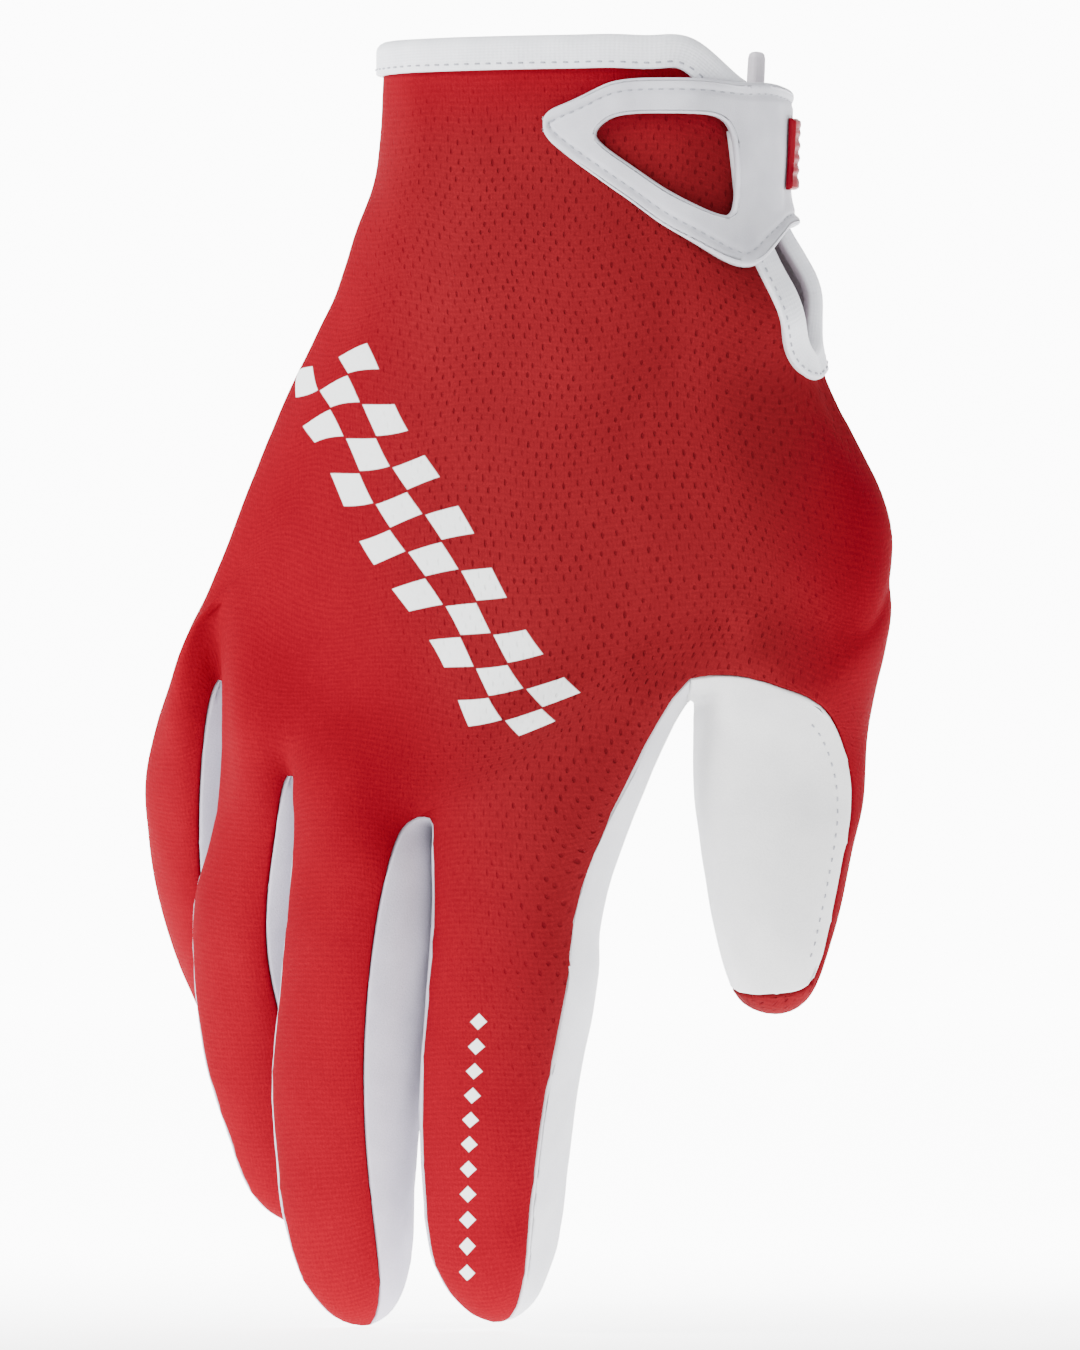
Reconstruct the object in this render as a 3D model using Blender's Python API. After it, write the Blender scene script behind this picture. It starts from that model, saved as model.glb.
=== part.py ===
"""A right-hand motocross glove in its worn form, fingers hanging down and the wrist opening on top.

The glove is one smooth hand-shaped surface that is cut into panels. Every panel is a thin wall,
thickened inwards along the normals of the shared surface, with a narrow seam gap to its neighbours.
The origin is the centre of the wrist opening: +Z points out of it, -Y out of the back of the hand
and +X to the thumb side. Sizes are in metres.
"""
import math

import bpy
import numpy as np
from mathutils import Vector
from mathutils.bvhtree import BVHTree
from mathutils.interpolate import poly_3d_calc

# Driving sizes of the hand form
WRIST_BREADTH = 0.0740
HAND_BREADTH = 0.1260
HAND_DEPTH = 0.0400
PALM_LENGTH = 0.1100

# How far each finger reaches below its root, and how broad it is there
INDEX_REACH = 0.0995
INDEX_BREADTH = 0.0300
MIDDLE_REACH = 0.0915
MIDDLE_BREADTH = 0.0270
RING_REACH = 0.0830
RING_BREADTH = 0.0250
LITTLE_REACH = 0.0675
LITTLE_BREADTH = 0.0220
THUMB_REACH = 0.0610
THUMB_BREADTH = 0.0300

# Cloth and seams
BACK_CLOTH = 0.0013
PALM_CLOTH = 0.0012
SEAM_GAP = 0.0003

# Bindings folded over the wrist edge and the slit
CUFF_BINDING_HEIGHT = 0.0045
CUFF_BINDING_CLOTH = 0.0011
SLIT_BINDING_WIDTH = 0.0038
SLIT_BINDING_CLOTH = 0.0009
FIT_CLEARANCE = 0.0003
INNER_CLEARANCE = 0.0006
CUFF_LEG_SHARES = (1.0, 0.5)
SLIT_LEG_SHARES = (1.0, 0.67, 0.33)

# Closure strap and its badge
STRAP_CLOTH = 0.0016
STRAP_DEPTH = 0.0265
BADGE_HEIGHT = 0.0130
BADGE_THICKNESS = 0.0012

# Subdivision of the panels, and of the finer surface that bindings and strap are fitted to
PANEL_LEVELS = 1
FITTING_LEVELS = 3

# Roundness of the hand sections and corner places of the finger sections, as shares of their halves
SECTION_POWER = 2.4
CORNER_SIDE = 0.80
CORNER_BACK = 0.74

# Sections of the wrist and palm from the cuff down. down is a share of PALM_LENGTH and sinks with the
# finger roots. ulnar and radial are shares of WRIST_BREADTH in the first WRIST_ROWS rows and of
# HAND_BREADTH below. The four depths are shares of HAND_DEPTH: the middles of the two sides, and the rise of the back
# and of the palm above the line between them. corner is where each side ends, as a share of half the
# breadth, and spread moves the columns from even spacing to that of the finger roots.
WRIST_ROWS = 3
HAND_SECTIONS = [
    # down, ulnar, radial, ulnar_depth, radial_depth, back_rise, palm_rise, corner, spread
    (0.00, -0.478, 0.507, 0.000, 0.000, 0.525, 0.525, 0.930, 0.00),
    (0.19, -0.496, 0.500, 0.000, 0.010, 0.515, 0.515, 0.940, 0.00),
    (0.30, -0.555, 0.512, 0.020, 0.030, 0.510, 0.510, 0.940, 0.00),
    (0.42, -0.369, 0.352, 0.060, 0.080, 0.500, 0.500, 0.945, 0.10),
    (0.58, -0.444, 0.374, 0.125, 0.175, 0.500, 0.500, 0.985, 0.30),
    (0.78, -0.525, 0.448, 0.225, 0.250, 0.513, 0.475, 0.950, 0.60),
    (0.91, -0.590, 0.444, 0.325, 0.300, 0.525, 0.375, 0.950, 0.85),
]

# The slit is open over this many rows, and the cuff drops beside it
SLIT_ROWS = 4
CUFF_DROP = 0.0050

# Lines between the finger roots, from the outer side of the little finger to the outer side of the
# thumb. Each has a point on the back, one in the crotch and one on the palm, as shares of HAND_BREADTH
# across, HAND_DEPTH towards the palm and PALM_LENGTH down.
ROOT_LINES = [
    # back, crotch, palm
    ((-0.628, 0.250, 0.982), (-0.655, 0.450, 1.018), (-0.615, 0.675, 1.000)),
    ((-0.556, 0.100, 1.005), (-0.530, 0.400, 1.095), (-0.497, 0.690, 1.105)),
    ((-0.421, -0.150, 1.191), (-0.405, 0.125, 1.240), (-0.392, 0.425, 1.250)),
    ((-0.216, -0.200, 1.264), (-0.206, 0.075, 1.300), (-0.198, 0.375, 1.310)),
    ((0.206, -0.150, 1.045), (0.177, 0.125, 1.100), (0.150, 0.400, 1.065)),
    ((0.385, 0.000, 1.059), (0.441, 0.300, 0.982), (0.397, 0.600, 0.945)),
]

# Crowns between those lines, on the back and on the palm, in the same shares
ROOT_CROWNS = [
    # back, palm
    ((-0.608, 0.088, 0.982), (-0.565, 0.800, 1.027)),
    ((-0.498, -0.130, 1.100), (-0.455, 0.650, 1.127)),
    ((-0.317, -0.325, 1.218), (-0.302, 0.450, 1.218)),
    ((-0.016, -0.350, 1.164), (-0.024, 0.450, 1.155)),
    ((0.294, -0.125, 1.045), (0.286, 0.750, 0.973)),
]

# Sections of each finger below its root. down and palmar are shares of its reach, and side, half_breadth
# and half_depth of its breadth. roll turns its back towards the little-finger side, in degrees. The last
# row is the tip.
INDEX_SECTIONS = [
    # down, side, palmar, half_breadth, half_depth, roll
    (0.171, -0.243, -0.040, 0.543, 0.450, 8),
    (0.352, -0.330, -0.030, 0.507, 0.433, 8),
    (0.553, -0.450, 0.000, 0.470, 0.417, 8),
    (0.750, -0.545, 0.050, 0.425, 0.383, 8),
    (0.925, -0.590, 0.093, 0.325, 0.300, 8),
    (1.020, -0.600, 0.121, 0.0, 0.0, 8),
]
MIDDLE_SECTIONS = [
    (0.126, -0.035, -0.055, 0.485, 0.455, 20),
    (0.322, -0.135, -0.022, 0.500, 0.463, 24),
    (0.545, -0.270, 0.027, 0.485, 0.444, 18),
    (0.765, -0.345, 0.093, 0.440, 0.407, 8),
    (0.935, -0.335, 0.148, 0.335, 0.326, 5),
    (1.030, -0.300, 0.175, 0.0, 0.0, 5),
]
RING_SECTIONS = [
    (0.145, -0.060, 0.020, 0.450, 0.450, 32),
    (0.349, -0.275, 0.075, 0.490, 0.470, 34),
    (0.585, -0.330, 0.145, 0.480, 0.460, 30),
    (0.800, -0.280, 0.220, 0.440, 0.420, 25),
    (0.965, -0.215, 0.280, 0.345, 0.345, 20),
    (1.060, -0.155, 0.320, 0.0, 0.0, 20),
]
LITTLE_SECTIONS = [
    (0.163, -0.235, 0.090, 0.440, 0.470, 28),
    (0.370, -0.340, 0.200, 0.480, 0.490, 32),
    (0.593, -0.330, 0.300, 0.470, 0.475, 42),
    (0.785, -0.250, 0.390, 0.430, 0.430, 38),
    (0.930, -0.170, 0.460, 0.345, 0.345, 35),
    (1.020, -0.100, 0.510, 0.0, 0.0, 35),
]
THUMB_SECTIONS = [
    (0.238, -0.130, 0.090, 0.517, 0.450, -28),
    (0.516, -0.147, 0.107, 0.465, 0.417, -28),
    (0.756, -0.167, 0.123, 0.385, 0.367, -28),
    (0.930, -0.193, 0.139, 0.262, 0.262, -28),
    (1.015, -0.200, 0.156, 0.0, 0.0, -28),
]
FINGERS = [
    # reach, breadth, sections, and the panels of its back, thumb side, palm and little-finger side
    (LITTLE_REACH, LITTLE_BREADTH, LITTLE_SECTIONS,
     ("back_panel", "fourchette_ring_little", "palm_panel", "back_panel")),
    (RING_REACH, RING_BREADTH, RING_SECTIONS,
     ("back_panel", "fourchette_middle_ring", "palm_panel", "fourchette_ring_little")),
    (MIDDLE_REACH, MIDDLE_BREADTH, MIDDLE_SECTIONS,
     ("back_panel", "fourchette_index_middle", "palm_panel", "fourchette_middle_ring")),
    (INDEX_REACH, INDEX_BREADTH, INDEX_SECTIONS,
     ("back_panel", "index_sidewall", "palm_panel", "fourchette_index_middle")),
    (THUMB_REACH, THUMB_BREADTH, THUMB_SECTIONS,
     ("thumb_panel", "back_panel", "palm_panel", "thumb_panel")),
]

# Stations of the closure strap round the wrist: turn is the angle from the middle of the back to the
# thumb side, in degrees. The four heights below the cuff are shares of STRAP_DEPTH: the strap's upper
# edge, the window's upper and lower edge, and the strap's lower edge. open says whether the window is
# open up to the next station, and lift is how far the strap stands clear, as a share of the slit
# binding's height.
STRAP_STATIONS = [
    # turn, top, window_top, window_bottom, bottom, open, lift
    (3.5, 0.506, 0.530, 0.564, 0.589, False, 0.0),
    (6.0, 0.453, 0.511, 0.589, 0.657, False, 0.0),
    (11.0, 0.411, 0.500, 0.615, 0.713, False, 0.0),
    (20.0, 0.336, 0.500, 0.645, 0.815, False, 0.0),
    (28.0, 0.275, 0.555, 0.660, 0.902, True, 0.0),
    (34.0, 0.245, 0.483, 0.732, 0.977, True, 0.0),
    (43.0, 0.238, 0.479, 0.842, 1.083, True, 0.1),
    (52.0, 0.238, 0.479, 0.966, 1.215, True, 0.7),
    (60.0, 0.242, 0.483, 1.079, 1.336, True, 1.2),
    (66.0, 0.249, 0.490, 1.155, 1.419, True, 1.2),
    (70.5, 0.253, 0.620, 1.162, 1.475, False, 1.2),
    (76.0, 0.253, 0.630, 1.130, 1.509, False, 1.1),
    (82.0, 0.260, 0.620, 1.040, 1.415, False, 1.0),
    (90.0, 0.279, 0.600, 0.950, 1.270, False, 1.0),
    (100.0, 0.309, 0.610, 0.930, 1.249, False, 1.0),
    (112.0, 0.325, 0.620, 0.930, 1.245, False, 1.0),
    (126.0, 0.325, 0.620, 0.930, 1.245, False, 0.6),
    (140.0, 0.325, 0.620, 0.930, 1.245, False, 0.0),
]
BADGE_TURNS = (90.0, 98.0, 106.0, 114.0, 122.0)
BADGE_TOP = 0.487

# Columns round the hand: the back from the little-finger side to the thumb side, one on the thumb side,
# the palm back again, and one on the little-finger side
BACK_COLUMNS = 2 * len(FINGERS) + 1
RADIAL_COLUMN = BACK_COLUMNS
COLUMNS = 2 * BACK_COLUMNS + 2
ULNAR_COLUMN = COLUMNS - 1

# How far the row below the slit rises at each column to close it
SLIT_RISES = {
    RADIAL_COLUMN - 1: 0.0105,
    RADIAL_COLUMN: 0.0060,
    RADIAL_COLUMN + 1: 0.0040,
}

# How much of the cuff's drop at the slit each column takes
CUFF_DROP_SHARES = {
    RADIAL_COLUMN - 3: 0.04,
    RADIAL_COLUMN - 2: 0.25,
    RADIAL_COLUMN - 1: 1.00,
    RADIAL_COLUMN: 0.80,
    RADIAL_COLUMN + 1: 0.50,
    RADIAL_COLUMN + 2: 0.60,
    RADIAL_COLUMN + 3: 0.40,
    RADIAL_COLUMN + 4: 0.15,
}
SOLVER_ROUNDS = 14

# A seam gap's pull at a corner grows up to one over this share, and edges sharper than this are creased
LEAST_SLANT = 0.6
SHARP_ANGLE = math.radians(40)


def make_material(name, color, roughness):
    material = bpy.data.materials.new(name)
    material.use_nodes = True
    shader = material.node_tree.nodes["Principled BSDF"]
    shader.inputs["Base Color"].default_value = (*color, 1.0)
    shader.inputs["Roughness"].default_value = roughness
    shader.inputs["Metallic"].default_value = 0.0
    return material


def root_point(shares):
    across, palmar, down = shares
    return Vector((across * HAND_BREADTH, palmar * HAND_DEPTH, -down * PALM_LENGTH))


class Cage:
    """The coarse surface: its target points, its faces and the panel that each face belongs to."""

    def __init__(self):
        self.points = []
        self.faces = []
        self.tags = []

    def add_point(self, point):
        self.points.append(Vector(point))
        return len(self.points) - 1

    def add_face(self, corners, tag):
        self.faces.append(tuple(corners))
        self.tags.append(tag)


def root_ring():
    """The ring of points where the fingers start, in column order."""
    ring = [None] * COLUMNS
    for line, (back, crotch, palm) in enumerate(ROOT_LINES):
        ring[2 * line] = root_point(back)
        ring[COLUMNS - 2 - 2 * line] = root_point(palm)
    for finger, (back, palm) in enumerate(ROOT_CROWNS):
        ring[2 * finger + 1] = root_point(back)
        ring[COLUMNS - 3 - 2 * finger] = root_point(palm)
    ring[RADIAL_COLUMN] = root_point(ROOT_LINES[-1][1])
    ring[ULNAR_COLUMN] = root_point(ROOT_LINES[0][1])
    return ring


def hand_section(row, roots):
    """One ring of points round the wrist or palm."""
    down, ulnar, radial, ulnar_depth, radial_depth, back_rise, palm_rise, corner, spread = HAND_SECTIONS[row]
    breadth = WRIST_BREADTH if row < WRIST_ROWS else HAND_BREADTH
    left, right = ulnar * breadth, radial * breadth
    middle, half = (left + right) / 2, (right - left) / 2
    first, last = roots[0].x, roots[BACK_COLUMNS - 1].x
    ring = []
    for column in range(COLUMNS):
        if column == RADIAL_COLUMN:
            place, rise = 1.0, 0.0
        elif column == ULNAR_COLUMN:
            place, rise = -1.0, 0.0
        else:
            on_back = column < BACK_COLUMNS
            order = column if on_back else COLUMNS - 2 - column
            even = order / (BACK_COLUMNS - 1)
            rooted = (roots[order].x - first) / (last - first)
            share = even + (rooted - even) * spread
            place = (2 * share - 1) * corner
            arch = (1 - min(1.0, abs(place)) ** SECTION_POWER) ** (1 / SECTION_POWER)
            rise = -arch * back_rise if on_back else arch * palm_rise
        chord = ulnar_depth + (radial_depth - ulnar_depth) * (place + 1) / 2
        point = Vector((middle + place * half, (chord + rise) * HAND_DEPTH, down * roots[column].z))
        if row == SLIT_ROWS:
            point.z += SLIT_RISES.get(column, 0.0)
        if row == 0:
            point.z -= CUFF_DROP * CUFF_DROP_SHARES.get(column, 0.0)
        ring.append(point)
    return ring


def finger_sections(finger, root):
    """The eight-sided rings of one finger below its root, and its tip."""
    reach, breadth, table, _ = FINGERS[finger]
    centres = [root + Vector((side * breadth, palmar * reach, -down * reach))
               for down, side, palmar, _, _, _ in table]
    rings = []
    for k, (_, _, _, half_breadth, half_depth, roll) in enumerate(table[:-1]):
        above = centres[k - 1] if k else root
        axis = (centres[k + 1] - above).normalized()
        angle = math.radians(roll)
        outward = Vector((-math.sin(angle), -math.cos(angle), 0))
        outward = (outward - axis * outward.dot(axis)).normalized()
        sideways = outward.cross(axis).normalized()
        if sideways.x < 0:
            sideways.negate()
        wide, deep = half_breadth * breadth, half_depth * breadth
        corners = [(-CORNER_SIDE, CORNER_BACK), (0, 1), (CORNER_SIDE, CORNER_BACK), (1, 0),
                   (CORNER_SIDE, -CORNER_BACK), (0, -1), (-CORNER_SIDE, -CORNER_BACK), (-1, 0)]
        rings.append([centres[k] + sideways * (x * wide) + outward * (y * deep) for x, y in corners])
    return rings, centres[-1]


def build_cage():
    cage = Cage()
    roots = root_ring()
    rows = [[cage.add_point(p) for p in hand_section(row, roots)] for row in range(len(HAND_SECTIONS))]
    rows.append([cage.add_point(p) for p in roots])
    for row in range(len(rows) - 1):
        for column in range(COLUMNS):
            beside = (column + 1) % COLUMNS
            if column in (RADIAL_COLUMN - 1, RADIAL_COLUMN):
                tag = "slit" if row < SLIT_ROWS else "back_panel"
            elif RADIAL_COLUMN < column < ULNAR_COLUMN - 1:
                tag = "palm_panel"
            else:
                tag = "back_panel"
            corners = (rows[row][column], rows[row + 1][column], rows[row + 1][beside], rows[row][beside])
            cage.add_face(corners, tag)
    crotches = [rows[-1][ULNAR_COLUMN]]
    crotches += [cage.add_point(root_point(crotch)) for _, crotch, _ in ROOT_LINES[1:-1]]
    crotches.append(rows[-1][RADIAL_COLUMN])
    for finger in range(len(FINGERS)):
        add_finger(cage, finger, rows[-1], crotches)
    return cage


def add_finger(cage, finger, roots, crotches):
    on_back, thumb_side, on_palm, little_side = FINGERS[finger][3]
    ring = [roots[2 * finger], roots[2 * finger + 1], roots[2 * finger + 2], crotches[finger + 1],
            roots[COLUMNS - 4 - 2 * finger], roots[COLUMNS - 3 - 2 * finger],
            roots[COLUMNS - 2 - 2 * finger], crotches[finger]]
    tags = [on_back, on_back, thumb_side, thumb_side, on_palm, on_palm, little_side, little_side]
    root = (cage.points[crotches[finger]] + cage.points[crotches[finger + 1]]) / 2
    sections, tip = finger_sections(finger, root)
    for section in sections:
        lower = [cage.add_point(p) for p in section]
        for k in range(len(ring)):
            beside = (k + 1) % len(ring)
            cage.add_face((ring[k], lower[k], lower[beside], ring[beside]), tags[k])
        ring = lower
    centre = cage.add_point(tip)
    for first, tag in ((0, "back_panel"), (2, thumb_side), (4, on_palm), (6, little_side)):
        last = (first + 2) % len(ring)
        cage.add_face((ring[first], centre, ring[last], ring[(first + 1) % len(ring)]), tag)


def solve_cage(cage):
    """Moves the cage's points until its smooth surface passes through the target points."""
    count = len(cage.points)
    targets = np.array([tuple(p) for p in cage.points])
    edges = {}
    for corners in cage.faces:
        for a, b in zip(corners, corners[1:] + corners[:1]):
            key = (min(a, b), max(a, b))
            edges[key] = edges.get(key, 0) + 1
    weights = np.zeros((count, count))
    rim = {v for key, uses in edges.items() if uses == 1 for v in key}
    valence = np.zeros(count)
    for a, b in edges:
        valence[a] += 1
        valence[b] += 1
    for (a, b), uses in edges.items():
        for here, there in ((a, b), (b, a)):
            if here not in rim:
                weights[here, there] += 4
            elif uses == 1:
                weights[here, there] += 1
    for corners in cage.faces:
        for k in range(4):
            if corners[k] not in rim:
                weights[corners[k], corners[(k + 2) % 4]] += 1
    for v in range(count):
        weights[v, v] = 4 if v in rim else valence[v] ** 2
    weights /= weights.sum(axis=1, keepdims=True)
    points = targets.copy()
    for _ in range(SOLVER_ROUNDS):
        points += targets - weights @ points
    cage.points = [Vector(p) for p in points]


class Form:
    """The smooth hand surface at one level of subdivision."""

    def __init__(self, cage, levels):
        mesh = bpy.data.meshes.new("form")
        mesh.from_pydata([tuple(p) for p in cage.points], [], cage.faces)
        self.names = sorted(set(cage.tags))
        for name in self.names:
            mesh.materials.append(None)
        mesh.polygons.foreach_set("material_index", [self.names.index(tag) for tag in cage.tags])
        guide = bpy.data.objects.new("form", mesh)
        bpy.context.collection.objects.link(guide)
        smooth = guide.modifiers.new("smooth", "SUBSURF")
        smooth.levels = levels
        smooth.render_levels = levels
        smooth.use_limit_surface = True
        depsgraph = bpy.context.evaluated_depsgraph_get()
        fine = guide.evaluated_get(depsgraph).to_mesh()
        self.points = [v.co.copy() for v in fine.vertices]
        self.normals = [v.normal.copy() for v in fine.vertices]
        self.faces = [tuple(p.vertices) for p in fine.polygons]
        self.tags = [self.names[p.material_index] for p in fine.polygons]
        guide.evaluated_get(depsgraph).to_mesh_clear()
        bpy.data.objects.remove(guide)
        bpy.data.meshes.remove(mesh)
        self.tree = BVHTree.FromPolygons(self.points, self.faces)

    def surface(self, place, index):
        """The smooth normal at a place on face number index."""
        corners = self.faces[index]
        weights = poly_3d_calc([self.points[v] for v in corners], place)
        normal = Vector((0, 0, 0))
        for v, weight in zip(corners, weights):
            normal += self.normals[v] * weight
        return normal.normalized()

    def nearest(self, point):
        place, _, index, _ = self.tree.find_nearest(point)
        return place, self.surface(place, index)

    def around(self, turn, depth):
        """The surface point that lies at an angle round the wrist, a depth below the cuff."""
        angle = math.radians(turn)
        start = Vector((0, 0, -depth))
        place, _, index, _ = self.tree.ray_cast(start, Vector((math.sin(angle), -math.cos(angle), 0)))
        return place, self.surface(place, index)


def link_solid(name, points, faces, material):
    mesh = bpy.data.meshes.new(name)
    mesh.from_pydata([tuple(p) for p in points], [], faces)
    mesh.materials.append(material)
    mesh.shade_smooth()
    mesh.set_sharp_from_angle(angle=SHARP_ANGLE)
    solid = bpy.data.objects.new(name, mesh)
    bpy.context.collection.objects.link(solid)
    return solid


def border_edges(faces):
    """The directed edges that only one face uses."""
    used = {}
    for index, corners in enumerate(faces):
        for a, b in zip(corners, corners[1:] + corners[:1]):
            used[(a, b)] = index
    return [edge for edge in used if (edge[1], edge[0]) not in used]


def thicken(name, outer, inner, faces, material, order=None):
    """A closed wall between two layers of points that share their faces.

    order numbers the points. Walls that face each other across a seam number them alike, and so split
    the twisted faces along their borders on the same diagonals.
    """
    order = order or range(len(outer))
    count = len(outer)
    solid = list(faces)
    solid += [tuple(count + v for v in reversed(corners)) for corners in faces]
    for a, b in border_edges(faces):
        if order[a] < order[b]:
            solid += [(b, a, b + count), (a, a + count, b + count)]
        else:
            solid += [(b, a, a + count), (b, a + count, b + count)]
    return link_solid(name, outer + inner, solid, material)


def build_panel(name, form, thickness, material):
    """Cuts one panel out of the form, draws its border back by half a seam gap and thickens it."""
    chosen = [corners for corners, tag in zip(form.faces, form.tags) if tag == name]
    used = sorted({v for corners in chosen for v in corners})
    number = {v: k for k, v in enumerate(used)}
    faces = [tuple(number[v] for v in corners) for corners in chosen]
    points = [form.points[v] for v in used]
    normals = [form.normals[v] for v in used]
    pulls = {}
    for a, b in border_edges(faces):
        along = (points[b] - points[a]).normalized()
        for v in (a, b):
            pulls.setdefault(v, []).append(normals[v].cross(along).normalized())
    outer = [p.copy() for p in points]
    for v, directions in pulls.items():
        middle = sum(directions, Vector((0, 0, 0))).normalized()
        slant = max(LEAST_SLANT, middle.dot(directions[0]))
        outer[v] += middle * (SEAM_GAP / 2 / slant)
    inner = [p - n * thickness for p, n in zip(outer, normals)]
    return thicken(name, outer, inner, faces, material, used)


def ordered_edge(form, tag):
    """The points round the faces of one tag, in order, starting at the top of the palm side."""
    chosen = [corners for corners, face_tag in zip(form.faces, form.tags) if face_tag == tag]
    following = dict(border_edges(chosen))
    start = max(following, key=lambda v: (round(form.points[v].z, 5), form.points[v].y))
    path = [start]
    while following[path[-1]] != start:
        path.append(following[path[-1]])
    return path


def cuff_edge(form):
    """The points along the cuff, from the back side of the slit round to its palm side."""
    following = dict(border_edges(form.faces))
    slit = set(ordered_edge(form, "slit"))
    path = [min((v for v in following if v in slit), key=lambda v: form.points[v].y)]
    while len(path) == 1 or path[-1] not in slit:
        path.append(following[path[-1]])
    return path


def binding_stations(path, form):
    """Places, normals and off-edge directions at the path's points and halfway between them."""
    points = [form.points[v] for v in path]
    vertices = []
    for k, v in enumerate(path):
        along = (points[min(k + 1, len(path) - 1)] - points[max(k - 1, 0)]).normalized()
        vertices.append((points[k], form.normals[v], along.cross(form.normals[v]).normalized()))
    stations = [vertices[0]]
    for before, after in zip(vertices, vertices[1:]):
        halfway = [(a + b) / 2 for a, b in zip(before, after)]
        stations += [(halfway[0], halfway[1].normalized(), halfway[2].normalized()), after]
    return stations


def build_binding(name, path, form, width, leg_shares, cloth, material):
    """A folded strip over an open edge: a U-shaped section carried along the path."""
    outside = FIT_CLEARANCE + cloth
    under = BACK_CLOTH + INNER_CLEARANCE
    deepest = under + cloth
    half = (outside + deepest) / 2
    sections = []
    for place, normal, off_edge in binding_stations(path, form):
        edge = place - off_edge * (SEAM_GAP / 2)
        outer_leg = [form.nearest(place - off_edge * (width * share)) for share in leg_shares]
        outer_leg.append((edge, normal))
        inner_leg = outer_leg[::-1]
        section = [spot + n * outside for spot, n in outer_leg]
        section.append(edge + normal * (outside - half) + off_edge * outside)
        section += [spot - n * deepest for spot, n in inner_leg]
        section += [spot - n * under for spot, n in outer_leg[:-1]]
        section.append(edge - normal * under + off_edge * FIT_CLEARANCE)
        section.append(edge + normal * FIT_CLEARANCE + off_edge * FIT_CLEARANCE)
        section += [spot + n * FIT_CLEARANCE for spot, n in inner_leg[1:]]
        sections.append(section)
    return link_sweep(name, sections, material)


def link_sweep(name, sections, material):
    """A solid through equal sections, with flat ends."""
    size = len(sections[0])
    points = [p for section in sections for p in section]
    faces = []
    for k in range(len(sections) - 1):
        for j in range(size):
            beside = (j + 1) % size
            faces.append((k * size + j, k * size + beside, (k + 1) * size + beside, (k + 1) * size + j))
    faces.append(tuple(reversed(range(size))))
    faces.append(tuple(range((len(sections) - 1) * size, len(sections) * size)))
    return link_solid(name, points, faces, material)


def smooth_sheet(points, faces):
    """One round of subdivision of a flat sheet given by turn and depth."""
    mesh = bpy.data.meshes.new("sheet")
    mesh.from_pydata([(x, 0, z) for x, z in points], [], faces)
    guide = bpy.data.objects.new("sheet", mesh)
    bpy.context.collection.objects.link(guide)
    smooth = guide.modifiers.new("smooth", "SUBSURF")
    smooth.levels = 1
    smooth.render_levels = 1
    smooth.boundary_smooth = "PRESERVE_CORNERS"
    depsgraph = bpy.context.evaluated_depsgraph_get()
    fine = guide.evaluated_get(depsgraph).to_mesh()
    fine_points = [(v.co.x, v.co.z) for v in fine.vertices]
    fine_faces = [tuple(p.vertices) for p in fine.polygons]
    guide.evaluated_get(depsgraph).to_mesh_clear()
    bpy.data.objects.remove(guide)
    bpy.data.meshes.remove(mesh)
    return fine_points, fine_faces


def strap_lift(turn):
    """How far the strap's inner face stands off the hand form at one angle."""
    turns = [station[0] for station in STRAP_STATIONS]
    lifts = [station[6] for station in STRAP_STATIONS]
    over_binding = SLIT_BINDING_CLOTH + FIT_CLEARANCE
    return FIT_CLEARANCE + over_binding * float(np.interp(turn, turns, lifts))


def build_strap(fitting, material):
    """The strap round the thumb side of the wrist, with the window in its tab."""
    points = []
    faces = []
    for k, (turn, top, window_top, window_bottom, bottom, is_open, _) in enumerate(STRAP_STATIONS):
        points += [(turn, share * STRAP_DEPTH) for share in (top, window_top, window_bottom, bottom)]
        if k == len(STRAP_STATIONS) - 1:
            break
        for j in range(3):
            if j == 1 and is_open:
                continue
            corner = 4 * k + j
            faces.append((corner, corner + 1, corner + 5, corner + 4))
    points, faces = smooth_sheet(points, faces)
    outer, inner = [], []
    for turn, depth in points:
        place, normal = fitting.around(turn, depth)
        lift = strap_lift(turn)
        inner.append(place + normal * lift)
        outer.append(place + normal * (lift + STRAP_CLOTH))
    return thicken("closure_strap", outer, inner, faces, material)


def build_badge(fitting, material):
    """The raised patch on the thumb side of the strap."""
    outer, inner, faces = [], [], []
    top = BADGE_TOP * STRAP_DEPTH
    depths = [top, top + BADGE_HEIGHT / 2, top + BADGE_HEIGHT]
    for k, turn in enumerate(BADGE_TURNS):
        for j, depth in enumerate(depths):
            place, normal = fitting.around(turn, depth)
            base = strap_lift(turn) + STRAP_CLOTH + FIT_CLEARANCE
            inner.append(place + normal * base)
            outer.append(place + normal * (base + BADGE_THICKNESS))
            if k and j:
                here = len(depths) * k + j
                above = here - len(depths)
                faces.append((above - 1, above, here, here - 1))
    return thicken("strap_badge", outer, inner, faces, material)


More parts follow.
